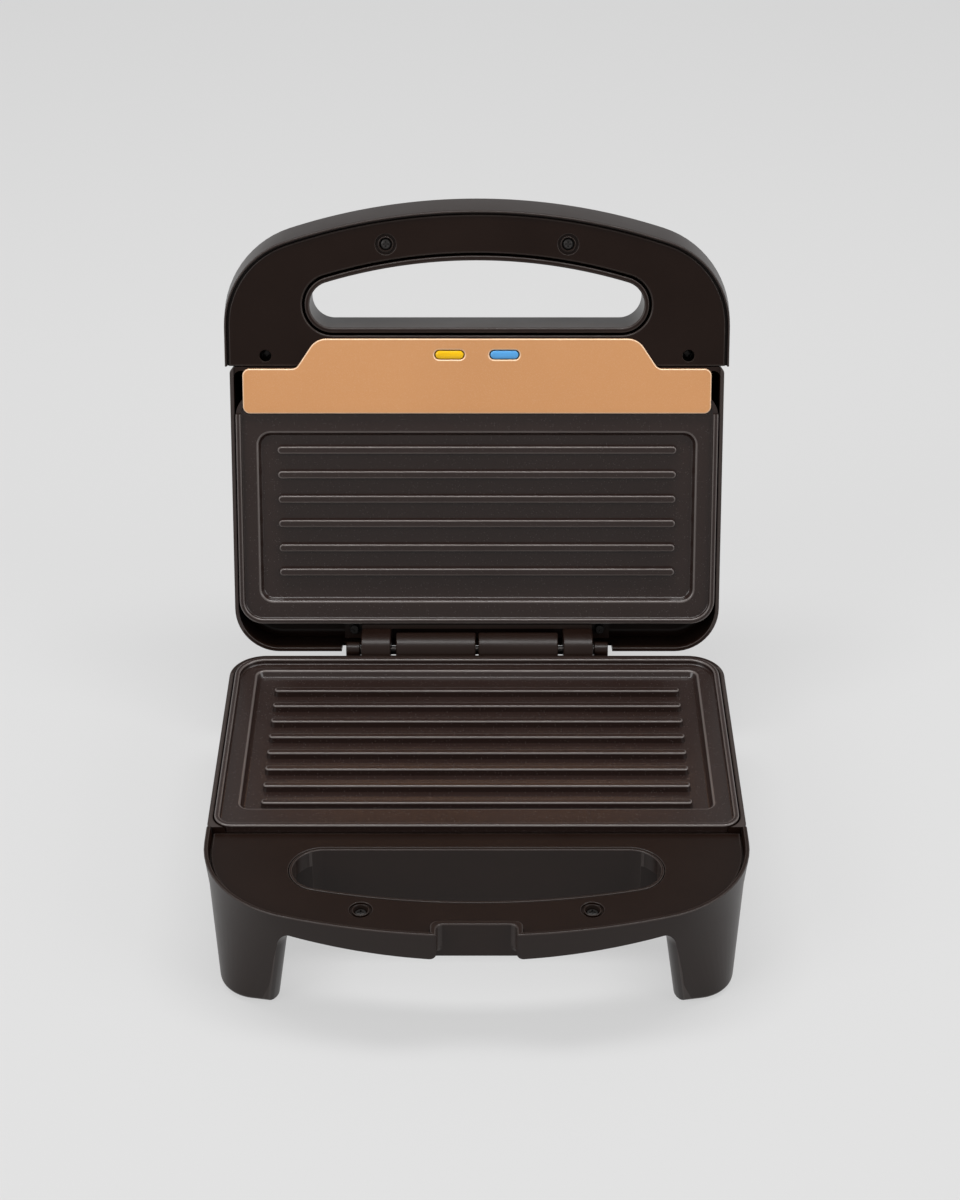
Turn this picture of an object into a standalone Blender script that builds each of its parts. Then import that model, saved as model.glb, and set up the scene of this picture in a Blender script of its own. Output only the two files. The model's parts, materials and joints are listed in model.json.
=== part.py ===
"""An open sandwich maker as an assembly of separate pieces, in metres, +Z up, front towards -Y.

Places are written as x (to the right), reach (forward from the lower plate's rear edge) and height
above the table, or for the lid as depth: outward from the lid plate's rim. The lid is modelled shut,
round its hinge axis, and its frame is then turned open.
"""
import math

import bmesh
import bpy
from mathutils import Vector

for old_object in list(bpy.data.objects):
    bpy.data.objects.remove(old_object, do_unlink=True)


# Driving sizes of the whole
plate_width = 0.220
lower_plate_length = 0.125
upper_plate_length = 0.108
rim_height = 0.056
closing_gap = 0.0006
hinge_drop = 0.0039
opening_angle_deg = 109.4
seat_gap = 0.0003
overrun = 0.002

# Cooking plates; each border is measured from the plate's edge to its recess
lower_rear_corner = 0.0135
lower_front_corner = 0.008
upper_corner = 0.011
lip_width = 0.0023
lip_height = 0.0024
lip_edge = 0.0006
flange_thickness = 0.0014
recess_depth = 0.005
recess_draft = 0.0015
plate_floor = 0.003
recess_side_border = 0.0097
lower_rear_border = 0.0077
lower_front_border = 0.0147
upper_rear_border = 0.0101
upper_front_border = 0.0185
lower_recess_corner = 0.004
upper_recess_corner = 0.006
rib_side_border = 0.0195
rib_front_border = 0.003
lower_first_rib = 0.0228
upper_first_rib = 0.0241
lower_rib_pitch = 0.0118
upper_rib_pitch = 0.01144
rib_height = 0.003
rib_foot_width = 0.0042
rib_shoulder_width = 0.0034
rib_top_width = 0.0018
rib_rounding = 0.0007
plate_boss_radius = 0.004
plate_boss_x = 0.050
plate_boss_reach = 0.050

# Lower casing
plate_side_gap = 0.0005
base_rear_margin = 0.0026
base_rim_drop = 0.0008
base_body_depth = 0.032
base_wall = 0.002
base_edge = 0.004
base_rear_corner = 0.016
base_front_corner = 0.003
service_window_side = 0.030
service_window_length = 0.030
service_window_border = 0.011
rear_leg_gap = 0.0035
rear_leg_width = 0.028
rear_leg_back = 0.0145
rear_leg_inside = 0.007
rear_leg_taper = 0.002
rear_leg_top_drop = 0.016
rear_leg_shoulder = 0.0045
cover_boss_side = 0.010
cover_boss_reach = 0.0155
cover_boss_radius = 0.0036
cover_boss_height = 0.012
post_radius = 0.0042
wire_window_half = 0.040
wire_window_height = 0.007

# Bottom cover
bottom_cover_thickness = 0.002
bottom_cover_inset = 0.0045
bottom_cover_corner = 0.008
bottom_cover_overlap = 0.0068
front_cover_screw_side = 0.043
front_cover_screw_setback = 0.0039
vent_length = 0.040
vent_width = 0.0022
vent_pitch = 0.006
vent_count = 4
vent_x = 0.050
vent_first_reach = 0.018

# Feet
foot_clearance = 0.001
pad_radius = 0.005
pad_socket_depth = 0.0018
front_pad_setback = 0.0211

# Outline of the lower handle: straight sides, round corners and a wide front curve
base_arch_overhang = 0.0026
base_arch_length = 0.0698
base_arch_corner = 0.0497
base_arch_crown = 0.2632
bend_depth = 0.015
bend_lean = 0.0015
foot_side_lean = 0.00576
foot_front_lean = 0.0157
foot_corner = 0.0164
foot_crown = 0.532

# Outline of the lid handle, which is larger at its back
lid_arch_overhang = 0.0043
lid_arch_length = 0.082
lid_arch_corner = 0.040
lid_arch_crown = 0.277
lid_back_side_flare = 0.0019
lid_back_front_flare = 0.0039
lid_back_corner = 0.0442
lid_back_crown = 0.281
handle_wall = 0.0022
cover_thickness = 0.002

# Hand openings
base_opening_side = 0.0346
base_opening_border = 0.0119
base_opening_width = 0.0325
base_opening_end = 0.0124
base_sleeve_wall = 0.0013
lid_opening_side = 0.0344
lid_opening_border = 0.0294
lid_opening_width = 0.0303
lid_opening_end = 0.0091
lid_sleeve_wall = 0.0022
lid_sleeve_groove = 0.0012

# Lower handle
base_handle_joint_gap = 0.0003
base_handle_rim_drop = 0.0003
base_rim_width = 0.0017
base_cover_groove = 0.0012
base_cover_recess = 0.0035
base_cavity_depth = 0.009
rear_block_depth = 0.0127
rear_pocket_half = 0.050
rear_pocket_depth = 0.0083
apron_depth = 0.0144
apron_arc_radius = 0.718
apron_shares = [0.75, 0.5, 0.25, 0, -0.25, -0.5, -0.75]
leg_bottom_rounding = 0.002
leg_inner_top_side = 0.0335
leg_inner_bottom_side = 0.028
leg_fillet = 0.007
leg_front_rounding = 0.0075
leg_setback = 0.0147
leg_wall = 0.0026
leg_sole = 0.003
leg_pocket_roof_drop = 0.0155
notch_half = 0.016
notch_depth = 0.0071
notch_wall_drop = 0.0166
notch_wall = 0.0024
notch_corner = 0.003
rim_rounding = 0.0006

# Lid casing
lid_rear_margin = 0.0135
lid_front_margin = 0.0117
lid_wall = 0.0018
lid_outer_depth = 0.027
lid_edge = 0.005
lid_corner = 0.0205
lid_front_corner = 0.003
lid_rim_depth = 0.001
hinge_notch_depth = 0.0123
ear_tab_side = 0.014
ear_tab_width = 0.012
ear_tab_depth = 0.012
ear_tab_thickness = 0.0025
ear_tab_length = 0.0118
lid_post_x = 0.070
lid_post_reach = 0.060

# Lid handle
lid_handle_rim_depth = 0.0006
lid_handle_edge = 0.005
lid_rim_width = 0.0008
lid_cover_groove = 0.001
lid_cover_depth = 0.0019
lid_cover_boss_end = 0.007
lid_rear_opening = 0.0152
corner_hole_radius = 0.0027
corner_screw_setback = 0.005

# Copper panel
panel_overlap = 0.0095
panel_shoulder_length = 0.0205
panel_step_length = 0.0137
panel_side = 0.0035
panel_step_start = 0.0224
panel_step_end = 0.0384
panel_corner = 0.0032
panel_inner_corner = 0.0037
panel_outer_corner = 0.009
panel_depth = 0.0002
panel_thickness = 0.0014
panel_slot_length = 0.0154
panel_slot_width = 0.005

# Indicator lights
lens_x = 0.01245
lens_setback = 0.0073
lens_length = 0.0127
lens_width = 0.0036
lens_flange_margin = 0.0011
lens_flange_thickness = 0.0012
lens_face_depth = 0.0003
lens_edge = 0.0005
lamp_radius = 0.0022
lamp_length = 0.010
lamp_offset = 0.0021
lamp_depth = 0.008
holder_half = 0.022
holder_rear_border = 0.0049
holder_front_border = 0.0059

# Screws
shank_radius = 0.0014
ring_head_radius = 0.0032
ring_counterbore_radius = 0.0035
ring_boss_radius = 0.0042
head_height = 0.0018
lid_ring_screw_side = 0.0346
base_ring_screw_side = 0.029
lid_ring_screw_border = 0.0073
base_ring_screw_border = 0.0056
corner_head_radius = 0.0024
cover_head_radius = 0.003
head_dome_share = 0.72
head_shoulder_share = 0.55
tip_share = 0.35
slot_width = 0.0008
slot_depth = 0.0009
slot_length_share = 1.15
lid_seat_depth = 0.0052
base_seat_drop = 0.0068
lid_ring_screw_length = 0.011
base_ring_screw_length = 0.005
corner_screw_length = 0.008
cover_screw_length = 0.009

# Hinge
barrel_radius = 0.0081
barrel_gap = 0.0007
barrel_inner_x = 0.0007
barrel_outer_x = 0.0373
barrel_neck_half = 0.005
knuckle_inner_x = 0.0399
knuckle_outer_x = 0.0534
ear_inner_x = 0.0541
ear_outer_x = 0.0605
ear_radius = 0.0037
pin_radius = 0.002
pin_end_gap = 0.0003
housing_back = 0.0085
housing_top_drop = 0.0087
housing_foot = 0.0014
housing_wall = 0.0022
housing_hollow_half = 0.048
housing_chamfer = 0.0025
housing_screw_x = 0.054
housing_screw_length = 0.0115
bracket_gap = 0.0006
bracket_strip = 0.002
bracket_rim_depth = 0.0012
bracket_plate_depth = 0.0125
bracket_back = 0.0015
bracket_thickness = 0.0025
bracket_half = 0.062
bracket_screw_x = 0.0575
bracket_boss_radius = 0.004
bracket_screw_length = 0.006
arm_clearance = 0.0004
arm_rim_step = 0.0006
arm_back = 0.004
arm_low_depth = 0.0025
arm_high_depth = 0.0085
arm_shoulder_depth = 0.0114
notch_side_gap = 0.001

# Heaters, shields and electrics
heater_radius = 0.00325
heater_side = 0.030
heater_corner = 0.014
heater_end_x = 0.028
lower_heater_rear = 0.022
lower_heater_front_border = 0.023
upper_heater_rear = 0.020
upper_heater_front_border = 0.020
shield_thickness = 0.0006
shield_lip = 0.004
shield_side = 0.012
shield_border = 0.010
shield_corner = 0.010
thermostat_radius = 0.008
thermostat_ahead = 0.012
blade_length = 0.006
blade_width = 0.0045
blade_thickness = 0.0008
fuse_radius = 0.0022
fuse_length = 0.016
fuse_x = 0.028
fuse_reach = 0.053
block_half = 0.015
block_rear = 0.016
block_front = 0.030
block_height = 0.011
well_x = 0.008
well_depth = 0.005
lead_radius = 0.0011
lead_bend = 0.006
lead_hole_radius = 0.0028
heater_lead_hole_x = 0.013
heater_lead_hole_reach = 0.036
thermostat_lead_hole_x = 0.021
thermostat_lead_hole_reach = 0.056
lead_notch_half = 0.028
ring_lead_x = 0.024
gland_x = 0.030
gland_bore = 0.0033
gland_neck_radius = 0.0045
gland_flange_radius = 0.0062
gland_flange = 0.0015
gland_nose_radius = 0.0054
gland_nose_length = 0.005

# Resolution of round shapes
corner_steps = 5
arch_steps = 12
round_steps = 12
screw_steps = 10
bore_steps = 20
edge_steps = 3
lead_steps = 2
merge_distance = 0.00001
sharp_angle_deg = 35


# Plates and what lies under them
plate_half = plate_width / 2
rib_length = 2 * (plate_half - rib_side_border)
flange_depth = lip_height + flange_thickness
skirt_inset = base_wall + 2 * seat_gap
plate_underside = recess_depth + plate_floor
heater_depth = plate_underside + seat_gap + heater_radius
shield_depth = heater_depth + heater_radius + seat_gap
post_depth = shield_depth + shield_thickness + seat_gap
heater_half = plate_half - heater_side
shield_half = plate_half - shield_side
lower_heater_front = lower_plate_length - lower_heater_front_border
upper_heater_front = upper_plate_length - upper_heater_front_border
thermostat_reach = (lower_heater_rear + lower_heater_front) / 2 + thermostat_ahead

# Sizes of the base that follow
base_half = plate_half + plate_side_gap + base_wall
base_front = lower_plate_length
base_wall_top = rim_height - base_rim_drop
base_underside = rim_height - base_body_depth
rear_leg_height = rim_height - rear_leg_top_drop
leg_pocket_roof = rim_height - leg_pocket_roof_drop
hinge_setback = base_rear_margin + barrel_gap + barrel_radius
hinge_height = rim_height - hinge_drop
rear_leg_x = ear_outer_x + rear_leg_gap + rear_leg_width / 2
cover_boss_x = plate_half - cover_boss_side
front_cover_screw_x = plate_half - front_cover_screw_side
service_window_half = plate_half - service_window_side
base_handle_rear = lower_plate_length + base_handle_joint_gap
base_handle_front = lower_plate_length + base_arch_length
rear_block_front = base_handle_rear + rear_block_depth
leg_rear = base_handle_rear + leg_setback
leg_inner_top_x = plate_half - leg_inner_top_side
leg_inner_bottom_x = plate_half - leg_inner_bottom_side
base_rim = rim_height - base_handle_rim_drop
apron_low = rim_height - apron_depth
bend_level = rim_height - bend_depth
base_cover_top = rim_height - base_cover_recess
base_cover_bottom = base_cover_top - cover_thickness
base_cavity_floor = rim_height - base_cavity_depth
pad_thickness = foot_clearance + pad_socket_depth - seat_gap
notch_back = base_handle_front - notch_depth

# Sizes of the lid that follow
lid_axis_depth = -(hinge_drop + closing_gap)
lid_half = plate_half + plate_side_gap + lid_wall
lid_floor_depth = lid_outer_depth - lid_wall
lid_front = upper_plate_length + lid_front_margin
lid_handle_rear = lid_front + seat_gap
lid_cover_bottom = lid_cover_depth + cover_thickness
ear_tab_x = plate_half - ear_tab_side
corner_screw_reach = lid_front + corner_screw_setback
panel_rear = upper_plate_length - panel_overlap
panel_shoulder = panel_rear + panel_shoulder_length
panel_front = panel_shoulder + panel_step_length
panel_half = plate_half - panel_side
panel_step_half = panel_half - panel_step_start
panel_top_half = panel_half - panel_step_end
lens_reach = panel_front - lens_setback
lamp_reach = lens_reach + lamp_offset
holder_rear = lamp_reach - holder_rear_border
holder_front = lamp_reach + holder_front_border
screw_hole_radius = shank_radius + seat_gap
pin_bore_radius = pin_radius + seat_gap

# Outlines as half width, corner radius, front and radius of the front curve
base_rim_shape = (plate_half + base_arch_overhang, base_arch_corner, base_handle_front, base_arch_crown)
foot_shape = (base_rim_shape[0] - foot_side_lean, foot_corner, base_handle_front - foot_front_lean, foot_crown)
lid_rim_shape = (plate_half + lid_arch_overhang, lid_arch_corner, upper_plate_length + lid_arch_length,
                 lid_arch_crown)
lid_back_shape = (lid_rim_shape[0] + lid_back_side_flare, lid_back_corner,
                  lid_rim_shape[2] + lid_back_front_flare, lid_back_crown)
front_pad_x = (leg_inner_bottom_x + foot_shape[0]) / 2
front_pad_reach = foot_shape[2] - front_pad_setback

# Hand openings as half width, rear, front and end radius
base_opening_rear = lower_plate_length + base_opening_border
base_opening = (plate_half - base_opening_side, base_opening_rear, base_opening_rear + base_opening_width,
                base_opening_end)
lid_opening_rear = upper_plate_length + lid_opening_border
lid_opening = (plate_half - lid_opening_side, lid_opening_rear, lid_opening_rear + lid_opening_width,
               lid_opening_end)
base_ring_screw_x = base_opening[0] - base_ring_screw_side
base_ring_screw_reach = base_opening[2] + base_ring_screw_border
lid_ring_screw_x = lid_opening[0] - lid_ring_screw_side
lid_ring_screw_reach = lid_opening[2] + lid_ring_screw_border


# Materials
def plain_material(name, color, roughness, metallic):
    """A material with one Principled shader."""
    material = bpy.data.materials.new(name)
    material.use_nodes = True
    shader = material.node_tree.nodes["Principled BSDF"]
    shader.inputs["Base Color"].default_value = (*color, 1.0)
    shader.inputs["Roughness"].default_value = roughness
    shader.inputs["Metallic"].default_value = metallic
    material.diffuse_color = (*color, 1.0)
    return material


casing_plastic = plain_material("casing_plastic", (0.021, 0.017, 0.015), 0.45, 0.0)
cover_plastic = plain_material("cover_plastic", (0.014, 0.011, 0.010), 0.5, 0.0)
plate_coating = plain_material("plate_coating", (0.042, 0.033, 0.032), 0.4, 0.3)
copper_paint = plain_material("copper_paint", (0.62, 0.33, 0.14), 0.35, 0.6)
yellow_lens_plastic = plain_material("yellow_lens_plastic", (0.85, 0.55, 0.01), 0.2, 0.0)
blue_lens_plastic = plain_material("blue_lens_plastic", (0.06, 0.27, 0.75), 0.2, 0.0)
lamp_glass = plain_material("lamp_glass", (0.8, 0.75, 0.7), 0.1, 0.0)
steel = plain_material("steel", (0.45, 0.45, 0.46), 0.3, 1.0)
dark_steel = plain_material("dark_steel", (0.05, 0.05, 0.05), 0.4, 0.8)
shield_metal = plain_material("shield_metal", (0.7, 0.7, 0.72), 0.35, 1.0)
heater_steel = plain_material("heater_steel", (0.22, 0.2, 0.18), 0.5, 0.9)
rubber = plain_material("rubber", (0.01, 0.01, 0.01), 0.8, 0.0)
white_ceramic = plain_material("white_ceramic", (0.75, 0.72, 0.65), 0.5, 0.0)
lead_sleeve = plain_material("lead_sleeve", (0.7, 0.68, 0.6), 0.7, 0.0)


# Frames: the base stands still, the lid turns on the hinge axis
base_frame = bpy.data.objects.new("base_frame", None)
bpy.context.collection.objects.link(base_frame)
lid_frame = bpy.data.objects.new("lid_frame", None)
bpy.context.collection.objects.link(lid_frame)
lid_frame.parent = base_frame
lid_frame.location = (0, hinge_setback, hinge_height)
lid_frame.rotation_euler = (-math.radians(opening_angle_deg), 0, 0)


def base_point(x, reach, height):
    """A point of the base, with its height measured from the table."""
    return Vector((x, -reach, height))


def lid_point(x, reach, depth):
    """A point of the shut lid, measured from the hinge axis."""
    return Vector((x, -(reach + hinge_setback), depth - lid_axis_depth))


def sunk(drop):
    """The height that lies a given drop under the base's rim plane."""
    return rim_height - drop


# Outlines in the x and reach plane
def arc(center, radius, start_deg, end_deg, steps):
    """Points on an arc, both ends included."""
    points = []
    for step in range(steps + 1):
        angle = math.radians(start_deg + (end_deg - start_deg) * step / steps)
        points.append((center[0] + radius * math.cos(angle), center[1] + radius * math.sin(angle)))
    return points


def circle(center, radius, steps=round_steps):
    """A full circle, first point not repeated."""
    return arc(center, radius, 0, 360, steps)[:-1]


def rounded_rectangle(half, rear, front, rear_radius, front_radius, steps=corner_steps):
    """A rectangle with its own rear and front corner radii."""
    limit = min(half, (front - rear) / 2)
    rear_radius = min(rear_radius, limit)
    front_radius = min(front_radius, limit)
    points = arc((half - front_radius, front - front_radius), front_radius, 0, 90, steps)
    points += arc((front_radius - half, front - front_radius), front_radius, 90, 180, steps)
    points += arc((rear_radius - half, rear + rear_radius), rear_radius, 180, 270, steps)
    points += arc((half - rear_radius, rear + rear_radius), rear_radius, 270, 360, steps)
    return points


def rectangle(x_low, x_high, rear, front):
    """Four corners."""
    return [(x_low, rear), (x_high, rear), (x_high, front), (x_low, front)]


def bow(shape, inset, rear):
    """Straight sides from the rear, round corners and a wide front curve that meets them smoothly."""
    half, corner, front, crown = [size - inset for size in shape]
    offset = half - corner
    center = front - crown
    corner_reach = center + math.sqrt((crown - corner) ** 2 - offset ** 2)
    meet_deg = math.degrees(math.atan2(corner_reach - center, offset))
    points = [(half, rear)]
    points += arc((offset, corner_reach), corner, 0, meet_deg, corner_steps)
    points += arc((0, center), crown, meet_deg, 180 - meet_deg, arch_steps)[1:-1]
    points += arc((-offset, corner_reach), corner, 180 - meet_deg, 180, corner_steps)
    return points + [(-half, rear)]


def hand_opening(opening, outset=0):
    """A D shape: straight rear side, round ends, wide front curve tangent to them."""
    half, rear, front, radius = opening
    radius += outset
    half += outset
    rear -= outset
    front += outset
    offset = half - radius
    rise = front - rear - radius
    front_radius = (offset ** 2 + rise ** 2 - radius ** 2) / (2 * (rise - radius))
    meet_deg = math.degrees(math.atan2(rear + radius - (front - front_radius), offset))
    points = arc((offset, rear + radius), radius, -90, meet_deg, 2 * corner_steps)
    points += arc((0, front - front_radius), front_radius, meet_deg, 180 - meet_deg, 2 * corner_steps)[1:-1]
    points += arc((-offset, rear + radius), radius, 180 - meet_deg, 270, 2 * corner_steps)
    return points


def pill(center, length, width, steps=corner_steps):
    """A long slot shape with round ends."""
    radius = width / 2
    offset = length / 2 - radius
    points = arc((center[0] + offset, center[1]), radius, -90, 90, steps)
    points += arc((center[0] - offset, center[1]), radius, 90, 270, steps)
    return points


# Solids
def loft_into(mesh, rings):
    """Extrude the first ring's face through the other rings, which leaves one closed body."""
    cap = mesh.faces.new([mesh.verts.new(point) for point in rings[0]])
    for index, ring in enumerate(rings[1:]):
        grown = bmesh.ops.extrude_face_region(mesh, geom=[cap], use_keep_orig=(index == 0))
        if index:
            bmesh.ops.delete(mesh, geom=[cap], context="FACES_ONLY")
        cap = next(part for part in grown["geom"] if isinstance(part, bmesh.types.BMFace))
        for corner, point in zip(cap.verts, ring):
            corner.co = point


def stack(place, levels):
    """Rings from pairs of an outline and its height or depth."""
    return [[place(x, reach, level) for x, reach in outline] for outline, level in levels]


def prism(place, outline, low, high):
    """An outline extruded between two heights or depths."""
    return stack(place, [(outline, low), (outline, high)])


def bar(place, profile, x_low, x_high):
    """A profile of reach and height extruded along x."""
    return [[place(x, reach, level) for reach, level in profile] for x in (x_low, x_high)]


def beam(place, profile, rear, front):
    """A profile of x and height extruded along the reach."""
    return [[place(x, reach, level) for x, level in profile] for reach in (rear, front)]


def new_object(name, mesh, frame):
    """Turn a bmesh into an object under a frame, with its faces pointing out."""
    bmesh.ops.recalc_face_normals(mesh, faces=mesh.faces)
    data = bpy.data.meshes.new(name)
    mesh.to_mesh(data)
    mesh.free()
    piece = bpy.data.objects.new(name, data)
    bpy.context.collection.objects.link(piece)
    piece.parent = frame
    return piece


def finish_surface(piece, material):
    """Give the piece its material and smooth shading with sharp edges kept."""
    piece.data.materials.clear()
    piece.data.materials.append(material)
    piece.data.shade_smooth()
    piece.data.set_sharp_from_angle(angle=math.radians(sharp_angle_deg))


def solid(name, frame, material, *bodies):
    """A piece from one or more lofted bodies."""
    mesh = bmesh.new()
    for rings in bodies:
        loft_into(mesh, rings)
    piece = new_object(name, mesh, frame)
    finish_surface(piece, material)
    return piece


def tool(piece, operation, *bodies):
    """Add or cut lofted bodies with an exact Boolean."""
    mesh = bmesh.new()
    for rings in bodies:
        loft_into(mesh, rings)
    shape = new_object(piece.name + "_tool", mesh, piece.parent)
    shape.hide_render = True
    shape.display_type = "WIRE"
    modifier = piece.modifiers.new(operation.lower(), "BOOLEAN")
    modifier.operation = operation
    modifier.solver = "EXACT"
    modifier.object = shape
    return shape


def cut(piece, *bodies):
    """Take lofted bodies away from a piece."""
    return tool(piece, "DIFFERENCE", *bodies)


def add(piece, *bodies):
    """Join lofted bodies to a piece."""
    return tool(piece, "UNION", *bodies)


def turned(mesh, profile, steps=round_steps):
    """Spin a profile of radius and height round the Z axis; it starts and ends on the axis or is closed."""
    corners = [mesh.verts.new((radius, 0, height)) for radius, height in profile]
    edges = [mesh.edges.new(pair) for pair in zip(corners, corners[1:])]
    closed = profile[0][0] > 0
    if closed:
        edges.append(mesh.edges.new((corners[-1], corners[0])))
    bmesh.ops.spin(mesh, geom=corners + edges, cent=(0, 0, 0), axis=(0, 0, 1), dvec=(0, 0, 0),
                   angle=math.tau, steps=steps, use_merge=True)
    bmesh.ops.remove_doubles(mesh, verts=mesh.verts, dist=merge_distance)


def along_x(center, radius, x_low, x_high, place, steps=round_steps):
    """A round bar along x, centred on a reach and a height."""
    return bar(place, circle(center, radius, steps), x_low, x_high)


def along_reach(x, height, radius, rear, front, place, steps=round_steps):
    """A round bar along the reach."""
    return beam(place, circle((x, height), radius, steps), rear, front)


def upright(place, center, radius, low, high, steps=round_steps):
    """A round bar along the height or depth."""
    return prism(place, circle(center, radius, steps), low, high)


def mirrored(x):
    """A place and its mirror image, with the side's name."""
    return (("left", -x), ("right", x))


# Cooking plates
def plate_rings(place, level, length, rear_corner, front_corner, recess_rear, recess_front, recess_corner):
    """A plate from its underside up its skirt, over the raised lip and down into the recess."""

    def outline(inset):
        return rounded_rectangle(plate_half - inset, inset, length - inset,
                                 rear_corner - inset, front_corner - inset)

    def recess(inset):
        return rounded_rectangle(plate_half - recess_side_border - inset, recess_rear + inset,
                                 recess_front - inset, recess_corner, recess_corner)

    return stack(place, [
        (outline(skirt_inset), level(plate_underside)),
        (outline(skirt_inset), level(flange_depth)),
        (outline(0), level(flange_depth)),
        (outline(0), level(lip_edge)),
        (outline(lip_edge), level(0)),
        (outline(lip_width - lip_edge), level(0)),
        (outline(lip_width), level(lip_height)),
        (recess(0), level(lip_height)),
        (recess(recess_draft), level(recess_depth)),
    ])


def rib_rings(place, level, reach):
    """One rib that rises from the recess floor."""
    foot = pill((0, reach), rib_length + rib_foot_width - rib_top_width, rib_foot_width)
    shoulder = pill((0, reach), rib_length + rib_shoulder_width - rib_top_width, rib_shoulder_width)
    top = pill((0, reach), rib_length, rib_top_width)
    rib_top = recess_depth - rib_height
    return stack(place, [
        (foot, level(recess_depth + rib_rounding)),
        (shoulder, level(rib_top + rib_rounding)),
        (top, level(rib_top)),
    ])


def cooking_plate(name, frame, place, level, length, corners, recess, recess_corner, first_rib, rib_pitch):
    """A ribbed plate with two bosses for its screws."""
    piece = solid(name, frame, plate_coating,
                  plate_rings(place, level, length, corners[0], corners[1], recess[0], recess[1],
                              recess_corner))
    rib_count = 1 + int((recess[1] - rib_front_border - first_rib) / rib_pitch)
    add(piece, *[rib_rings(place, level, first_rib + index * rib_pitch) for index in range(rib_count)])
    bosses = []
    holes = []
    for _, x in mirrored(plate_boss_x):
        center = (x, plate_boss_reach)
        bosses.append(upright(place, center, plate_boss_radius,
                              level(plate_underside - plate_floor / 2), level(shield_depth - seat_gap)))
        holes.append(upright(place, center, screw_hole_radius,
                             level(plate_underside), level(shield_depth + overrun)))
    add(piece, *bosses)
    cut(piece, *holes)
    return piece


def same(depth):
    """Depths in the lid are used as they are."""
    return depth


cooking_plate("lower_plate", base_frame, base_point, sunk, lower_plate_length,
              (lower_rear_corner, lower_front_corner),
              (lower_rear_border, lower_plate_length - lower_front_border),
              lower_recess_corner, lower_first_rib, lower_rib_pitch)
upper_plate = cooking_plate("upper_plate", lid_frame, lid_point, same, upper_plate_length,
                            (upper_corner, upper_corner),
                            (upper_rear_border, upper_plate_length - upper_front_border),
                            upper_recess_corner, upper_first_rib, upper_rib_pitch)
cut(upper_plate, prism(lid_point, rectangle(-plate_width, plate_width, panel_rear - seat_gap,
                                            upper_plate_length + overrun),
                       -overrun, panel_depth + panel_thickness + seat_gap))


# Heating elements: a tube bent round inside the edge of each plate
def tube(name, frame, material, points, radius, sides):
    """A round tube along a list of points, with closed ends."""
    data = bpy.data.curves.new(name, "CURVE")
    data.dimensions = "3D"
    data.bevel_depth = radius
    data.bevel_resolution = sides
    data.use_fill_caps = True
    spline = data.splines.new("POLY")
    spline.points.add(len(points) - 1)
    for knot, point in zip(spline.points, points):
        knot.co = (*point, 1.0)
    data.materials.append(material)
    piece = bpy.data.objects.new(name, data)
    bpy.context.collection.objects.link(piece)
    piece.parent = frame
    return piece


def heater(name, frame, place, level, rear, front):
    """An element that starts and ends near the middle of the rear side."""
    outline = [(heater_end_x, rear)]
    outline += arc((heater_half - heater_corner, rear + heater_corner), heater_corner, -90, 0, corner_steps)
    outline += arc((heater_half - heater_corner, front - heater_corner), heater_corner, 0, 90, corner_steps)
    outline += arc((heater_corner - heater_half, front - heater_corner), heater_corner, 90, 180, corner_steps)
    outline += arc((heater_corner - heater_half, rear + heater_corner), heater_corner, 180, 270, corner_steps)
    outline.append((-heater_end_x, rear))
    points = [place(x, reach, level(heater_depth)) for x, reach in outline]
    return tube(name, frame, heater_steel, points, heater_radius, 2)


heater("lower_heater", base_frame, base_point, sunk, lower_heater_rear, lower_heater_front)
heater("upper_heater", lid_frame, lid_point, same, upper_heater_rear, upper_heater_front)


# Heat shields: thin trays with an upturned edge, screwed on with the plates
def shield(name, frame, place, level, length, lead_holes):
    """A sheet tray that backs the element."""

    def outline(inset):
        return rounded_rectangle(shield_half - inset, shield_border + inset, length - shield_border - inset,
                                 shield_corner - inset, shield_corner - inset)

    piece = solid(name, frame, shield_metal, stack(place, [
        (outline(0), level(shield_depth + shield_thickness)),
        (outline(0), level(shield_depth - shield_lip)),
        (outline(shield_thickness), level(shield_depth - shield_lip)),
        (outline(shield_thickness), level(shield_depth)),
    ]))
    holes = []
    for _, x in mirrored(plate_boss_x):
        holes.append(upright(place, (x, plate_boss_reach), screw_hole_radius,
                             level(shield_depth - overrun), level(shield_depth + overrun)))
    for center in lead_holes:
        holes.append(upright(place, center, lead_hole_radius,
                             level(shield_depth - overrun), level(shield_depth + overrun)))
    cut(piece, *holes)
    return piece


lower_lead_holes = [(-heater_lead_hole_x, heater_lead_hole_reach),
                    (-thermostat_lead_hole_x, thermostat_lead_hole_reach)]
upper_lead_holes = [(x, heater_lead_hole_reach) for _, x in mirrored(heater_lead_hole_x)]
shield("lower_reflector", base_frame, base_point, sunk, lower_plate_length, lower_lead_holes)
shield("upper_reflector", lid_frame, lid_point, same, upper_plate_length, upper_lead_holes)


# More helpers for casings
def tub_levels(outline, rim, face, edge, inset=0):
    """Levels from a rim to a closed face, with a rounded edge before the face."""
    way = math.copysign(1, face - rim)
    levels = [(outline(inset), rim)]
    for step in range(edge_steps + 1):
        angle = math.pi / 2 * step / edge_steps
        levels.append((outline(inset + edge * (1 - math.cos(angle))),
                       face - way * edge * (1 - math.sin(angle))))
    return levels


def keyhole(center, radius, neck_half, foot):
    """A round head on a neck, as a profile of reach and height."""
    start_deg = -math.degrees(math.acos(neck_half / radius))
    points = arc(center, radius, start_deg, 180 - start_deg, round_steps)
    return points + [(center[0] - neck_half, foot), (center[0] + neck_half, foot)]


def blend_outlines(first, second, share):
    """The outline that lies a share of the way from one to another."""
    return [(x + (far_x - x) * share, reach + (far_reach - reach) * share)
            for (x, reach), (far_x, far_reach) in zip(first, second)]


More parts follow.
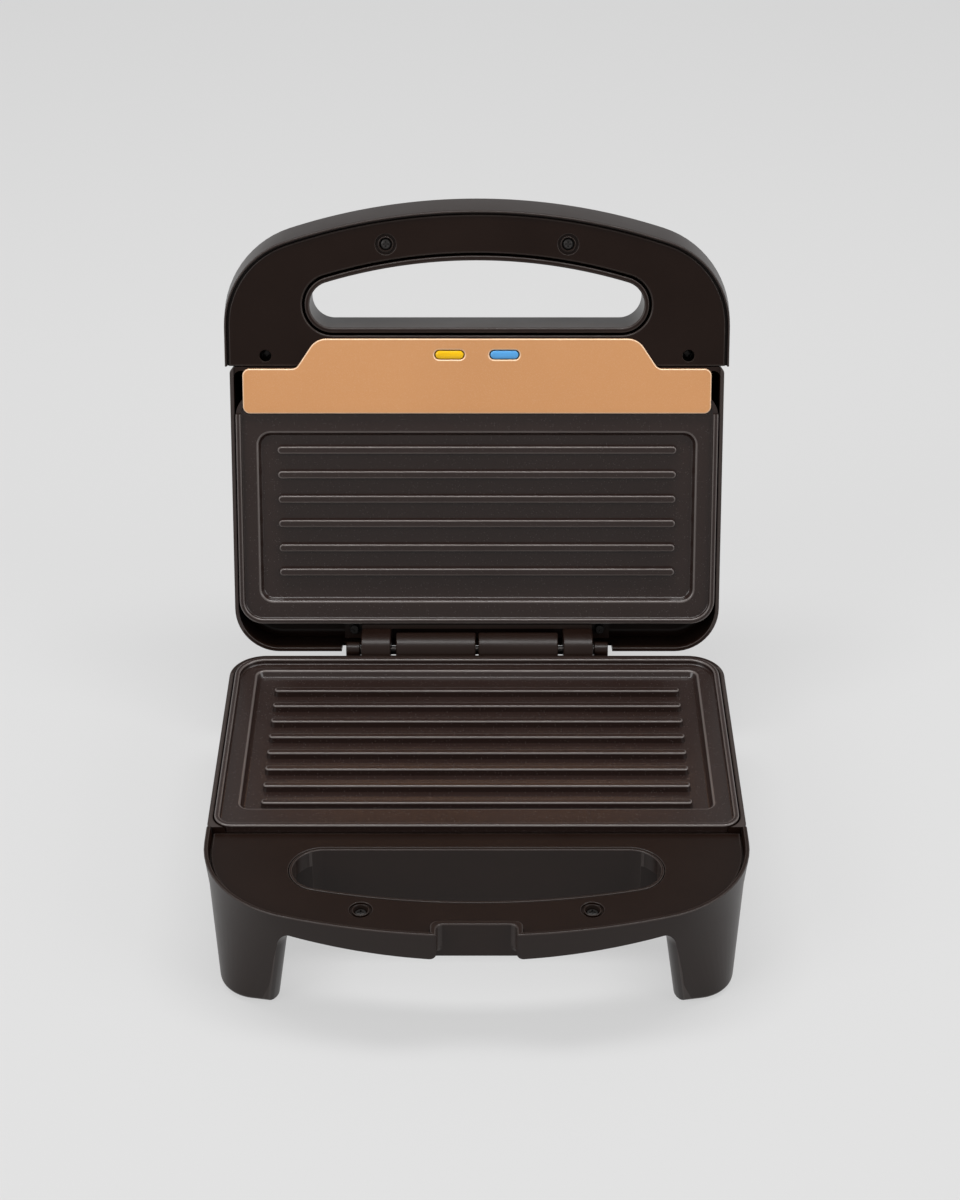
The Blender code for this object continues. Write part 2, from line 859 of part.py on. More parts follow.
# Lower casing: a tub on two rear legs
def base_outline(inset, front=base_front, front_corner=base_front_corner):
    """The tub's outline; its flat front meets the handle."""
    return rounded_rectangle(base_half - inset, inset - base_rear_margin, front,
                             base_rear_corner - inset, front_corner)


def rear_leg_outline(x, inset, back=0):
    """A rear leg's outline, with its back drawn in."""
    outline = rounded_rectangle(rear_leg_width / 2 - inset, back + inset - rear_leg_back,
                                rear_leg_inside - inset, leg_bottom_rounding, leg_bottom_rounding)
    return [(x + across, reach) for across, reach in outline]


base_shell = solid("base_shell", base_frame, casing_plastic,
                   stack(base_point, tub_levels(base_outline, base_wall_top, base_underside, base_edge)))
rear_legs = []
rear_leg_cores = []
for _, leg_x in mirrored(rear_leg_x):
    rear_legs.append(stack(base_point, [
        (rear_leg_outline(leg_x, rear_leg_taper), foot_clearance),
        (rear_leg_outline(leg_x, 0), base_underside),
        (rear_leg_outline(leg_x, 0), rear_leg_height - rear_leg_shoulder),
        (rear_leg_outline(leg_x, 0, rear_leg_shoulder), rear_leg_height),
    ]))
    rear_leg_cores.append(stack(base_point, [
        (rear_leg_outline(leg_x, rear_leg_taper + leg_wall), foot_clearance + leg_sole),
        (rear_leg_outline(leg_x, leg_wall), base_underside + base_wall + overrun),
    ]))
add(base_shell, *rear_legs)
base_inner_front = base_front - base_wall
plate_place_corner = lower_front_corner + plate_side_gap
cut(base_shell, stack(base_point, tub_levels(lambda inset: base_outline(inset, base_inner_front,
                                                                        plate_place_corner),
                                             base_wall_top + overrun, base_underside + base_wall,
                                             base_edge - base_wall, base_wall)))
cut(base_shell, prism(base_point, rounded_rectangle(plate_half + plate_side_gap, 0, base_front + plate_side_gap,
                                                    lower_rear_corner, plate_place_corner),
                      sunk(flange_depth + seat_gap), rim_height + overrun))
base_floor_middle = base_underside + base_wall / 2
floor_posts = []
for _, post_x in mirrored(plate_boss_x):
    floor_posts.append(upright(base_point, (post_x, plate_boss_reach), post_radius,
                               base_floor_middle, sunk(post_depth)))
for _, post_x in mirrored(cover_boss_x):
    floor_posts.append(upright(base_point, (post_x, cover_boss_reach), cover_boss_radius,
                               base_floor_middle, base_underside + cover_boss_height))
add(base_shell, *floor_posts)

housing_low = base_underside + housing_foot
housing_top = hinge_height - housing_top_drop
gland_height = (housing_low + housing_top) / 2
bottom_cover_low = base_underside - seat_gap - bottom_cover_thickness
cover_screw_seat = bottom_cover_low - seat_gap
cover_screw_tip = cover_screw_seat + cover_screw_length
window_rear = base_wall - base_rear_margin + service_window_border
rear_inner = base_wall - base_rear_margin
pad_top = pad_thickness
base_openings = [
    prism(base_point, rectangle(-service_window_half, service_window_half, window_rear,
                                window_rear + service_window_length),
          base_underside - overrun, base_underside + base_wall + overrun),
    bar(base_point, [(-base_rear_margin - overrun, gland_height - wire_window_height / 2),
                     (rear_inner + overrun, gland_height - wire_window_height / 2),
                     (rear_inner + overrun, gland_height + wire_window_height / 2),
                     (-base_rear_margin - overrun, gland_height + wire_window_height / 2)],
        -wire_window_half, wire_window_half),
]
for _, hole_x in mirrored(plate_boss_x):
    base_openings.append(stack(base_point, [
        (circle((hole_x, plate_boss_reach), cover_head_radius + seat_gap), base_underside - overrun),
        (circle((hole_x, plate_boss_reach), cover_head_radius + seat_gap), base_underside + base_wall),
        (circle((hole_x, plate_boss_reach), screw_hole_radius), base_underside + base_wall),
        (circle((hole_x, plate_boss_reach), screw_hole_radius), sunk(post_depth) + overrun),
    ]))
for _, hole_x in mirrored(cover_boss_x):
    base_openings.append(upright(base_point, (hole_x, cover_boss_reach), screw_hole_radius,
                                 base_underside - overrun, cover_screw_tip + seat_gap))
for _, hole_x in mirrored(housing_screw_x):
    base_openings.append(along_reach(hole_x, gland_height, screw_hole_radius,
                                     -base_rear_margin - overrun, rear_inner + overrun, base_point))
for _, hole_x in mirrored(rear_leg_x):
    base_openings.append(upright(base_point, (hole_x, (rear_leg_inside - rear_leg_back) / 2),
                                 pad_radius + seat_gap, -overrun, foot_clearance + pad_socket_depth))
cut(base_shell, *rear_leg_cores)
cut(base_shell, *base_openings)


# Bottom cover: closes the tub's window and ties the tub to the handle
bottom_cover_front = base_handle_rear + bottom_cover_overlap
bottom_cover = solid("base_bottom_cover", base_frame, casing_plastic,
                     prism(base_point, rounded_rectangle(base_half - bottom_cover_inset,
                                                         bottom_cover_inset - base_rear_margin,
                                                         bottom_cover_front, bottom_cover_corner,
                                                         bottom_cover_corner),
                           bottom_cover_low, base_underside - seat_gap))
front_cover_screw_reach = bottom_cover_front - front_cover_screw_setback
cover_screw_places = []
for side, screw_x in mirrored(cover_boss_x):
    cover_screw_places.append(("bottom_screw_rear_" + side, (screw_x, cover_boss_reach)))
for side, screw_x in mirrored(front_cover_screw_x):
    cover_screw_places.append(("bottom_screw_front_" + side, (screw_x, front_cover_screw_reach)))
cover_holes = [upright(base_point, place, screw_hole_radius, bottom_cover_low - overrun, base_underside)
               for _, place in cover_screw_places]
for _, leg_x in mirrored(rear_leg_x):
    cover_holes.append(prism(base_point, rear_leg_outline(leg_x, -seat_gap),
                             bottom_cover_low - overrun, base_underside))
for _, vents_x in mirrored(vent_x):
    for row in range(vent_count):
        cover_holes.append(prism(base_point,
                                 pill((vents_x, vent_first_reach + row * vent_pitch), vent_length, vent_width),
                                 bottom_cover_low - overrun, base_underside))
cut(bottom_cover, *cover_holes)


# Lower handle: a tapering curved wall on two legs, an apron, and the block that meets the tub
def base_lean(level):
    """How far the handle's wall leans in above its bend."""
    return bend_lean * (rim_height - level) / bend_depth


def base_bow(level, inset=0, rear=base_handle_rear):
    """The handle's outline at a height: it leans in a little, then draws in towards the feet."""
    if level >= bend_level:
        return bow(base_rim_shape, base_lean(level) + inset, rear)
    share = (bend_level - level) / (bend_level - foot_clearance)
    return blend_outlines(bow(base_rim_shape, bend_lean + inset, rear), bow(foot_shape, inset, rear), share)


base_handle_shell = solid("base_handle_shell", base_frame, casing_plastic, stack(base_point, [
    (base_bow(foot_clearance, leg_bottom_rounding), foot_clearance),
    (base_bow(foot_clearance + leg_bottom_rounding), foot_clearance + leg_bottom_rounding),
    (base_bow(bend_level), bend_level),
    (base_bow(base_rim - rim_rounding), base_rim - rim_rounding),
    (base_bow(base_rim, rim_rounding), base_rim),
]))
slab_bottom = base_cavity_floor - handle_wall


def apron_height(x):
    """The apron's lower edge, a shallow arc."""
    return apron_low + apron_arc_radius - math.sqrt(apron_arc_radius ** 2 - x ** 2)


def between_legs(spread=0):
    """The opening below the apron and between the legs, as a profile of x and height."""
    meet_x = leg_inner_top_x + spread - leg_fillet
    center = (meet_x, apron_height(meet_x) - leg_fillet)
    right = [(leg_inner_bottom_x + spread, -overrun)] + arc(center, leg_fillet, 0, 90, corner_steps)
    points = right + [(x, level) for x, level in
                      [(meet_x * share, apron_height(meet_x * share)) for share in apron_shares]]
    return points + [(-x, level) for x, level in reversed(right)]


def leg_front(level):
    """Where the leg's inner side reaches the front wall, at a height."""
    share = (bend_level - level) / (bend_level - foot_clearance)
    low = foot_shape[2] - foot_shape[3] + math.sqrt(foot_shape[3] ** 2 - leg_inner_bottom_x ** 2)
    high = base_rim_shape[2] - base_rim_shape[3] + math.sqrt(base_rim_shape[3] ** 2 - leg_inner_top_x ** 2)
    return high - bend_lean + (low - high + bend_lean) * share


def leg_opening():
    """The space between the legs, which widens round their inner front edges."""
    rings = [[base_point(x, rear_block_front, level) for x, level in between_legs()]]
    for step in range(edge_steps + 1):
        angle = math.pi / 2 * step / edge_steps
        profile = between_legs(leg_front_rounding * (1 - math.cos(angle)))
        ahead = leg_front_rounding * (math.sin(angle) - 1)
        rings.append([base_point(x, leg_front(level) + ahead, level) for x, level in profile])
    rings.append([base_point(x, base_handle_front + overrun, level) for x, level in profile])
    return rings


def inner_body(low, high):
    """The space inside the handle's wall between two heights."""
    levels = [low, high]
    if low < bend_level < high:
        levels = [low, bend_level, high]
    return stack(base_point, [(base_bow(level, handle_wall, base_handle_rear + handle_wall), level)
                              for level in levels])


cut(base_handle_shell, stack(base_point, [
    (base_bow(level, base_rim_width, base_handle_rear - overrun), level)
    for level in (base_cover_bottom - seat_gap, base_rim + overrun)]))
cut(base_handle_shell, inner_body(base_cavity_floor, base_cover_bottom))
cut(base_handle_shell, leg_opening())
hollow_half = leg_inner_top_x - leg_bottom_rounding
hollow_rear = rear_block_front - merge_distance
far_front = base_handle_front + overrun
hollow = cut(base_handle_shell, inner_body(-overrun, slab_bottom))
tool(hollow, "INTERSECT", prism(base_point, rectangle(-hollow_half, hollow_half, hollow_rear, far_front),
                                -rim_height, rim_height))
leg_pockets = cut(base_handle_shell, inner_body(foot_clearance + leg_sole, leg_pocket_roof))
tool(leg_pockets, "INTERSECT", *[stack(base_point, [
    (rectangle(*sorted((side * (inner_x + leg_wall), side * plate_width)), rear_block_front, far_front), level)
    for inner_x, level in ((leg_inner_bottom_x, 0), (leg_inner_top_x, rim_height))]) for side in (-1, 1)])
cut(base_handle_shell, prism(base_point, rectangle(-plate_width, plate_width,
                                                   base_handle_rear - overrun, leg_rear),
                             -overrun, base_underside))
cut(base_handle_shell, prism(base_point, rectangle(-rear_pocket_half, rear_pocket_half,
                                                   base_handle_rear + handle_wall,
                                                   base_handle_rear + rear_pocket_depth),
                             base_underside - overrun, slab_bottom))

base_ring_places = [("base_handle_screw_" + side, (x, base_ring_screw_reach))
                    for side, x in mirrored(base_ring_screw_x)]
base_ring_seat = sunk(base_seat_drop)
base_ring_tip = base_ring_seat - base_ring_screw_length
sleeve = prism(base_point, hand_opening(base_opening, base_sleeve_wall), base_cavity_floor - handle_wall / 2,
               base_cover_top)
notch_block_half = notch_half + notch_wall
notch_fall = base_arch_crown - math.sqrt(base_arch_crown ** 2 - notch_block_half ** 2)
notch_block = stack(base_point, [
    (rounded_rectangle(notch_block_half, notch_back - notch_wall,
                       base_handle_front - base_lean(level) - notch_fall - handle_wall / 2,
                       notch_corner, notch_wall / 2), level)
    for level in (rim_height - notch_wall_drop, base_rim - rim_rounding)])
ring_bosses = [upright(base_point, place, ring_boss_radius, base_ring_tip - seat_gap - handle_wall / 2,
                       base_cavity_floor - handle_wall / 2) for _, place in base_ring_places]
add(base_handle_shell, sleeve)
add(base_handle_shell, notch_block)
add(base_handle_shell, *ring_bosses)
handle_cuts = [
    prism(base_point, hand_opening(base_opening), base_underside - overrun, base_rim + overrun),
    prism(base_point, rounded_rectangle(notch_half, notch_back, base_handle_front + overrun,
                                        notch_corner, notch_corner),
          -overrun, base_rim + overrun),
]
for _, place in base_ring_places:
    handle_cuts.append(upright(base_point, place, screw_hole_radius, base_ring_tip - seat_gap,
                               base_cavity_floor + overrun))
for _, hole_x in mirrored(front_cover_screw_x):
    handle_cuts.append(upright(base_point, (hole_x, front_cover_screw_reach), screw_hole_radius,
                               base_underside - overrun, cover_screw_tip + seat_gap))
for _, hole_x in mirrored(front_pad_x):
    handle_cuts.append(upright(base_point, (hole_x, front_pad_reach), pad_radius + seat_gap,
                               -overrun, foot_clearance + pad_socket_depth))
cut(base_handle_shell, *handle_cuts)


# Lower handle cover, with two ringed screw wells
def handle_cover(name, frame, place, outline, opening, other_cuts, top, bottom, ring_places, seat, boss_end):
    """A thin cover with the hand opening and screw bosses below it."""
    piece = solid(name, frame, cover_plastic, prism(place, outline, top, bottom))
    middle = (top + bottom) / 2
    toward = math.copysign(overrun, top - bottom)
    add(piece, *[upright(place, center, ring_boss_radius, middle, boss_end) for _, center in ring_places])
    wells = [stack(place, [
        (circle(center, ring_counterbore_radius), top + toward),
        (circle(center, ring_counterbore_radius), seat),
        (circle(center, screw_hole_radius), seat),
        (circle(center, screw_hole_radius), boss_end - toward),
    ]) for _, center in ring_places]
    cut(piece, prism(place, opening, top + toward, bottom - toward), *wells, *other_cuts)
    return piece


cover_notch = prism(base_point, rounded_rectangle(notch_half + notch_wall + seat_gap,
                                                  notch_back - notch_wall - seat_gap,
                                                  base_handle_front + overrun,
                                                  notch_corner, notch_corner),
                    base_cover_bottom - overrun, base_cover_top + overrun)
handle_cover("base_handle_cover", base_frame, base_point,
             bow(base_rim_shape, base_rim_width + base_cover_groove, base_handle_rear + seat_gap),
             hand_opening(base_opening, base_sleeve_wall + seat_gap), [cover_notch],
             base_cover_top, base_cover_bottom, base_ring_places, base_ring_seat, base_cavity_floor + seat_gap)


# Hinge housing behind the tub: two wide barrels, two ears, and room for the supply wiring
housing_front_reach = -base_rear_margin - seat_gap
housing_back_reach = -hinge_setback - housing_back
hinge_housing = solid("hinge_housing", base_frame, casing_plastic, bar(base_point, [
    (housing_front_reach, housing_low),
    (housing_front_reach, housing_top),
    (housing_back_reach, housing_top),
    (housing_back_reach, housing_low + housing_chamfer),
    (housing_back_reach + housing_chamfer, housing_low),
], -ear_outer_x, ear_outer_x))
pin_center = (-hinge_setback, hinge_height)
barrel_profile = keyhole(pin_center, barrel_radius, barrel_neck_half, housing_top - housing_wall / 2)
ear_profile = keyhole(pin_center, ear_radius, ear_radius, housing_top - housing_wall / 2)
add(hinge_housing,
    bar(base_point, barrel_profile, barrel_inner_x, barrel_outer_x),
    bar(base_point, barrel_profile, -barrel_outer_x, -barrel_inner_x),
    bar(base_point, ear_profile, ear_inner_x, ear_outer_x),
    bar(base_point, ear_profile, -ear_outer_x, -ear_inner_x))
cut(hinge_housing,
    prism(base_point, rectangle(-housing_hollow_half, housing_hollow_half,
                                housing_back_reach + housing_wall, housing_front_reach + overrun),
          housing_low + housing_wall, housing_top - housing_wall),
    along_x(pin_center, pin_bore_radius, -plate_half, plate_half, base_point, bore_steps),
    *[along_reach(x, gland_height, screw_hole_radius, housing_front_reach - housing_screw_length,
                  housing_front_reach + overrun, base_point) for _, x in mirrored(housing_screw_x)])
cut(hinge_housing, along_reach(gland_x, gland_height, gland_neck_radius + seat_gap,
                               housing_back_reach - overrun,
                               housing_back_reach + housing_wall + overrun, base_point))
pin_half = ear_outer_x - pin_end_gap
solid("hinge_pin", base_frame, steel,
      along_x(pin_center, pin_radius, -pin_half, pin_half, base_point, bore_steps))


# Turned pieces: screws, gland and lamps
def turned_piece(name, frame, material, profile, origin, direction, steps=round_steps):
    """A turned piece whose profile runs along a direction from an origin."""
    mesh = bmesh.new()
    turned(mesh, profile, steps)
    turn = direction.to_track_quat("Z", "Y").to_matrix().to_4x4()
    turn.translation = origin
    bmesh.ops.transform(mesh, matrix=turn, verts=mesh.verts)
    piece = new_object(name, mesh, frame)
    finish_surface(piece, material)
    return piece, turn


def screw(name, frame, seat, direction, length, head_radius, material=steel):
    """A pan-head screw with a cross recess; its seat touches what it holds."""
    piece, turn = turned_piece(name, frame, material, [
        (0, -head_height),
        (head_radius * head_dome_share, -head_height),
        (head_radius, -head_height * head_shoulder_share),
        (head_radius, 0),
        (shank_radius, 0),
        (shank_radius, length - shank_radius),
        (shank_radius * tip_share, length),
        (0, length),
    ], seat, direction, screw_steps)
    long_half = head_radius * slot_length_share / 2
    short_half = slot_width / 2
    cross = [(long_half, -short_half), (long_half, short_half), (short_half, short_half),
             (short_half, long_half), (-short_half, long_half), (-short_half, short_half),
             (-long_half, short_half), (-long_half, -short_half), (-short_half, -short_half),
             (-short_half, -long_half), (short_half, -long_half), (short_half, -short_half)]
    cut(piece, [[turn @ Vector((x, y, level)) for x, y in cross]
                for level in (-head_height - overrun, slot_depth - head_height)])
    return piece


up = Vector((0, 0, 1))
down = Vector((0, 0, -1))
for screw_name, (screw_x, screw_reach) in cover_screw_places:
    screw(screw_name, base_frame, base_point(screw_x, screw_reach, cover_screw_seat), up,
          cover_screw_length, cover_head_radius)
for screw_name, (screw_x, screw_reach) in base_ring_places:
    screw(screw_name, base_frame, base_point(screw_x, screw_reach, base_ring_seat + seat_gap), down,
          base_ring_screw_length, ring_head_radius, dark_steel)
plate_screw_seat = base_underside + base_wall - seat_gap
for side, screw_x in mirrored(plate_boss_x):
    screw("lower_plate_screw_" + side, base_frame, base_point(screw_x, plate_boss_reach, plate_screw_seat), up,
          sunk(plate_underside) - seat_gap - plate_screw_seat, cover_head_radius)
for side, screw_x in mirrored(housing_screw_x):
    screw("housing_screw_" + side, base_frame, base_point(screw_x, rear_inner + seat_gap, gland_height),
          Vector((0, 1, 0)), housing_screw_length, cover_head_radius)

gland_seat = housing_back_reach + housing_wall + seat_gap
gland_wall = housing_wall + 2 * seat_gap
turned_piece("cord_gland", base_frame, rubber, [
    (gland_bore, -gland_flange),
    (gland_flange_radius, -gland_flange),
    (gland_flange_radius, 0),
    (gland_neck_radius, 0),
    (gland_neck_radius, gland_wall),
    (gland_nose_radius, gland_wall),
    (gland_neck_radius, gland_wall + gland_nose_length),
    (gland_bore, gland_wall + gland_nose_length),
], base_point(gland_x, gland_seat, gland_height), Vector((0, 1, 0)))


# Foot pads
for side, pad_x in mirrored(rear_leg_x):
    solid("rear_pad_" + side, base_frame, rubber,
          upright(base_point, (pad_x, (rear_leg_inside - rear_leg_back) / 2), pad_radius, 0, pad_top))
for side, pad_x in mirrored(front_pad_x):
    solid("front_pad_" + side, base_frame, rubber,
          upright(base_point, (pad_x, front_pad_reach), pad_radius, 0, pad_top))


# Thermostat, fuse and terminal block
heater_level = sunk(heater_depth)
thermostat = solid("thermostat", base_frame, white_ceramic,
                   upright(base_point, (0, thermostat_reach), thermostat_radius,
                           sunk(shield_depth - seat_gap), sunk(plate_underside + seat_gap)))
blade_half = thermostat_radius + blade_length
add(thermostat, prism(base_point, rectangle(-blade_half, blade_half, thermostat_reach - blade_width / 2,
                                            thermostat_reach + blade_width / 2),
                      heater_level - blade_thickness / 2, heater_level + blade_thickness / 2))
fuse_level = sunk(plate_underside + seat_gap + fuse_radius)
solid("thermal_fuse", base_frame, white_ceramic,
      along_reach(fuse_x, fuse_level, fuse_radius, fuse_reach - fuse_length / 2, fuse_reach + fuse_length / 2,
                  base_point, screw_steps))
block_top = base_underside + block_height
block_middle = (block_rear + block_front) / 2
terminal_block = solid("terminal_block", base_frame, white_ceramic,
                       prism(base_point, rectangle(-block_half, block_half, block_rear, block_front),
                             base_underside, block_top))
well_radius = 2 * lead_radius + seat_gap
cut(terminal_block, *[upright(base_point, (x, block_middle), well_radius, block_top - well_depth,
                              block_top + overrun, screw_steps) for _, x in mirrored(well_x)])


# Leads, each on a smooth curve through its own points
def smooth_route(points):
    """Points on a smooth curve through a route."""
    padded = [points[0]] + points + [points[-1]]
    route = []
    for first, second, third, fourth in zip(padded, padded[1:], padded[2:], padded[3:]):
        for step in range(lead_steps):
            t = step / lead_steps
            route.append(0.5 * (2 * second + (third - first) * t
                                + (2 * first - 5 * second + 4 * third - fourth) * t ** 2
                                + (3 * second - first - 3 * third + fourth) * t ** 3))
    return route + [points[-1]]


def lead(name, frame, points):
    """An insulated lead along a route."""
    return tube(name, frame, lead_sleeve, smooth_route(points), lead_radius, 2)


shield_level = sunk(shield_depth)
below_shield = (block_top + shield_level - shield_thickness) / 2
well_bottom = block_top - well_depth + seat_gap
blade_end = blade_half + seat_gap
fuse_half = fuse_length / 2 + seat_gap
heater_tip = heater_end_x - seat_gap
lead("thermostat_lead", base_frame, [
    base_point(-well_x, block_middle, well_bottom),
    base_point(-well_x, block_middle, block_top),
    base_point(-well_x - lead_bend / 4, block_middle + lead_bend, below_shield),
    base_point(-thermostat_lead_hole_x, thermostat_lead_hole_reach - 2 * lead_bend, below_shield),
    base_point(-thermostat_lead_hole_x, thermostat_lead_hole_reach - lead_bend / 2, below_shield),
    base_point(-thermostat_lead_hole_x, thermostat_lead_hole_reach, shield_level),
    base_point(-thermostat_lead_hole_x, thermostat_lead_hole_reach + lead_bend, heater_level),
    base_point(-blade_end - lead_bend, thermostat_reach - lead_bend / 2, heater_level),
    base_point(-blade_end - lead_bend / 2, thermostat_reach, heater_level),
    base_point(-blade_end, thermostat_reach, heater_level),
])
lead("fuse_lead", base_frame, [
    base_point(blade_end, thermostat_reach, heater_level),
    base_point(blade_end + lead_bend, thermostat_reach, heater_level),
    base_point(fuse_x, fuse_reach + fuse_half + lead_bend, fuse_level),
    base_point(fuse_x, fuse_reach + fuse_half, fuse_level),
])
lead("heater_lead", base_frame, [
    base_point(fuse_x, fuse_reach - fuse_half, fuse_level),
    base_point(fuse_x - lead_bend / 4, fuse_reach - fuse_half - lead_bend, fuse_level),
    base_point(heater_tip - 2 * lead_bend, lower_heater_rear + lead_bend, heater_level),
    base_point(heater_tip - lead_bend, lower_heater_rear, heater_level),
    base_point(heater_tip, lower_heater_rear, heater_level),
])
lead("return_lead", base_frame, [
    base_point(well_x, block_middle, well_bottom),
    base_point(well_x, block_middle, block_top),
    base_point(well_x / 2, block_middle + lead_bend, below_shield),
    base_point(-heater_lead_hole_x + lead_bend / 2, heater_lead_hole_reach, below_shield),
    base_point(-heater_lead_hole_x, heater_lead_hole_reach, shield_level),
    base_point(-heater_lead_hole_x - lead_bend / 4, heater_lead_hole_reach - lead_bend, heater_level),
    base_point(-heater_tip + 3 * lead_bend / 2, lower_heater_rear + lead_bend / 4, heater_level),
    base_point(-heater_tip + lead_bend / 2, lower_heater_rear, heater_level),
    base_point(-heater_tip, lower_heater_rear, heater_level),
])


# Lid casing: a shallow tray with large rear corners
def lid_outline(inset, front=lid_front):
    """The tray's outline; its flat front meets the lid handle."""
    return rounded_rectangle(lid_half - inset, inset - lid_rear_margin, front,
                             lid_corner - inset, lid_front_corner)


lid_shell = solid("lid_shell", lid_frame, casing_plastic,
                  stack(lid_point, tub_levels(lid_outline, lid_rim_depth, lid_outer_depth, lid_edge)))
lid_inner_front = lid_front - lid_wall
cut(lid_shell, stack(lid_point, tub_levels(lambda inset: lid_outline(inset, lid_inner_front),
                                           lid_rim_depth - overrun, lid_floor_depth,
                                           lid_edge - lid_wall, lid_wall)))
lid_floor_middle = lid_floor_depth + lid_wall / 2
bracket_front = -bracket_gap
bracket_rear = bracket_back - hinge_setback
bracket_middle = (bracket_front + bracket_rear) / 2
bracket_far_depth = bracket_plate_depth + bracket_thickness
bracket_tip = bracket_plate_depth - seat_gap + bracket_screw_length
panel_back_depth = panel_depth + panel_thickness
lid_additions = []
for _, boss_x in mirrored(lid_post_x):
    lid_additions.append(upright(lid_point, (boss_x, lid_post_reach), plate_boss_radius,
                                 lid_floor_middle, post_depth))
for _, boss_x in mirrored(bracket_screw_x):
    lid_additions.append(upright(lid_point, (boss_x, bracket_middle), bracket_boss_radius,
                                 lid_floor_middle, bracket_far_depth + seat_gap))
for _, tab_x in mirrored(ear_tab_x):
    lid_additions.append(prism(lid_point, rectangle(tab_x - ear_tab_width / 2, tab_x + ear_tab_width / 2,
                                                    lid_front - lid_wall / 2, lid_front + ear_tab_length),
                               ear_tab_depth, ear_tab_depth + ear_tab_thickness))
add(lid_shell, *lid_additions)
lid_cuts = [
    prism(lid_point, rectangle(lid_wall - lid_half, lid_half - lid_wall, lid_inner_front - overrun,
                               lid_front + overrun), -overrun, panel_back_depth + seat_gap),
    prism(lid_point, rectangle(-bracket_half - notch_side_gap, bracket_half + notch_side_gap,
                               -lid_rear_margin - overrun, lid_wall - lid_rear_margin + overrun),
          -overrun, hinge_notch_depth),
]
for _, hole_x in mirrored(bracket_screw_x):
    lid_cuts.append(upright(lid_point, (hole_x, bracket_middle), screw_hole_radius,
                            bracket_far_depth - overrun, bracket_tip + seat_gap))
for _, hole_x in mirrored(ear_tab_x):
    lid_cuts.append(upright(lid_point, (hole_x, corner_screw_reach), screw_hole_radius,
                            ear_tab_depth - overrun, ear_tab_depth + ear_tab_thickness + overrun))
cut(lid_shell, *lid_cuts)
cut(lid_shell, prism(lid_point, rectangle(-lead_notch_half, lead_notch_half, lid_inner_front - overrun,
                                          lid_front + overrun), panel_depth, ear_tab_depth))


# Lid handle
def lid_bow_levels(rim, face, edge, inset, rear):
    """Levels from the handle's rim to its back, which flares out and then rounds over."""
    levels = [(bow(lid_rim_shape, inset, rear), rim)]
    for step in range(edge_steps + 1):
        angle = math.pi / 2 * step / edge_steps
        levels.append((bow(lid_back_shape, inset + edge * (1 - math.cos(angle)), rear),
                       face - edge * (1 - math.sin(angle))))
    return levels


lid_handle_shell = solid("lid_handle_shell", lid_frame, casing_plastic,
                         stack(lid_point, lid_bow_levels(lid_handle_rim_depth, lid_outer_depth, lid_handle_edge,
                                                         0, lid_handle_rear)))
lid_handle_inner_rear = lid_handle_rear + handle_wall
lid_handle_inner_half = lid_rim_shape[0] - handle_wall
cut(lid_handle_shell, stack(lid_point, lid_bow_levels(lid_cover_depth, lid_floor_depth,
                                                      lid_handle_edge - handle_wall, handle_wall,
                                                      lid_handle_inner_rear)))
cut(lid_handle_shell, prism(lid_point, bow(lid_rim_shape, lid_rim_width, lid_handle_rear - overrun),
                            -overrun, lid_cover_bottom + seat_gap))
cut(lid_handle_shell, prism(lid_point, rectangle(-lid_handle_inner_half, lid_handle_inner_half,
                                                 lid_handle_rear - overrun, lid_handle_inner_rear + overrun),
                            -overrun, lid_rear_opening))
lid_ring_places = [("lid_handle_screw_" + side, (x, lid_ring_screw_reach))
                   for side, x in mirrored(lid_ring_screw_x)]
corner_places = [("lid_corner_screw_" + side, (x, corner_screw_reach)) for side, x in mirrored(ear_tab_x)]
lid_ring_tip = lid_seat_depth - seat_gap + lid_ring_screw_length
corner_tip = ear_tab_depth - seat_gap + corner_screw_length
tab_far_depth = ear_tab_depth + ear_tab_thickness
add(lid_handle_shell, prism(lid_point, hand_opening(lid_opening, lid_sleeve_wall), lid_floor_middle,
                            lid_cover_depth))
add(lid_handle_shell,
    *[upright(lid_point, center, ring_boss_radius, lid_floor_middle, lid_cover_boss_end + seat_gap)
      for _, center in lid_ring_places],
    *[upright(lid_point, center, cover_boss_radius, lid_floor_middle, tab_far_depth + seat_gap)
      for _, center in corner_places])
cut(lid_handle_shell,
    prism(lid_point, hand_opening(lid_opening), -overrun, lid_outer_depth + overrun),
    *[upright(lid_point, center, screw_hole_radius, lid_cover_boss_end, lid_ring_tip + seat_gap)
      for _, center in lid_ring_places],
    *[upright(lid_point, center, screw_hole_radius, tab_far_depth, corner_tip + seat_gap)
      for _, center in corner_places])

lens_slot_length = lens_length + 2 * seat_gap
lens_slot_width = lens_width + 2 * seat_gap
lid_cover_cuts = [prism(lid_point, pill((x, lens_reach), lens_slot_length, lens_slot_width), 0,
                        lid_cover_bottom + overrun) for _, x in mirrored(lens_x)]
lid_cover_cuts += [upright(lid_point, center, corner_hole_radius, 0, lid_cover_bottom + overrun)
                   for _, center in corner_places]
handle_cover("lid_handle_cover", lid_frame, lid_point,
             bow(lid_rim_shape, lid_rim_width + lid_cover_groove, lid_handle_rear),
             hand_opening(lid_opening, lid_sleeve_wall + lid_sleeve_groove),
             lid_cover_cuts, lid_cover_depth, lid_cover_bottom, lid_ring_places, lid_seat_depth,
             lid_cover_boss_end)
for screw_name, (screw_x, screw_reach) in lid_ring_places:
    screw(screw_name, lid_frame, lid_point(screw_x, screw_reach, lid_seat_depth - seat_gap), up,
          lid_ring_screw_length, ring_head_radius, dark_steel)
for screw_name, (screw_x, screw_reach) in corner_places:
    screw(screw_name, lid_frame, lid_point(screw_x, screw_reach, ear_tab_depth - seat_gap), up,
          corner_screw_length, corner_head_radius, dark_steel)


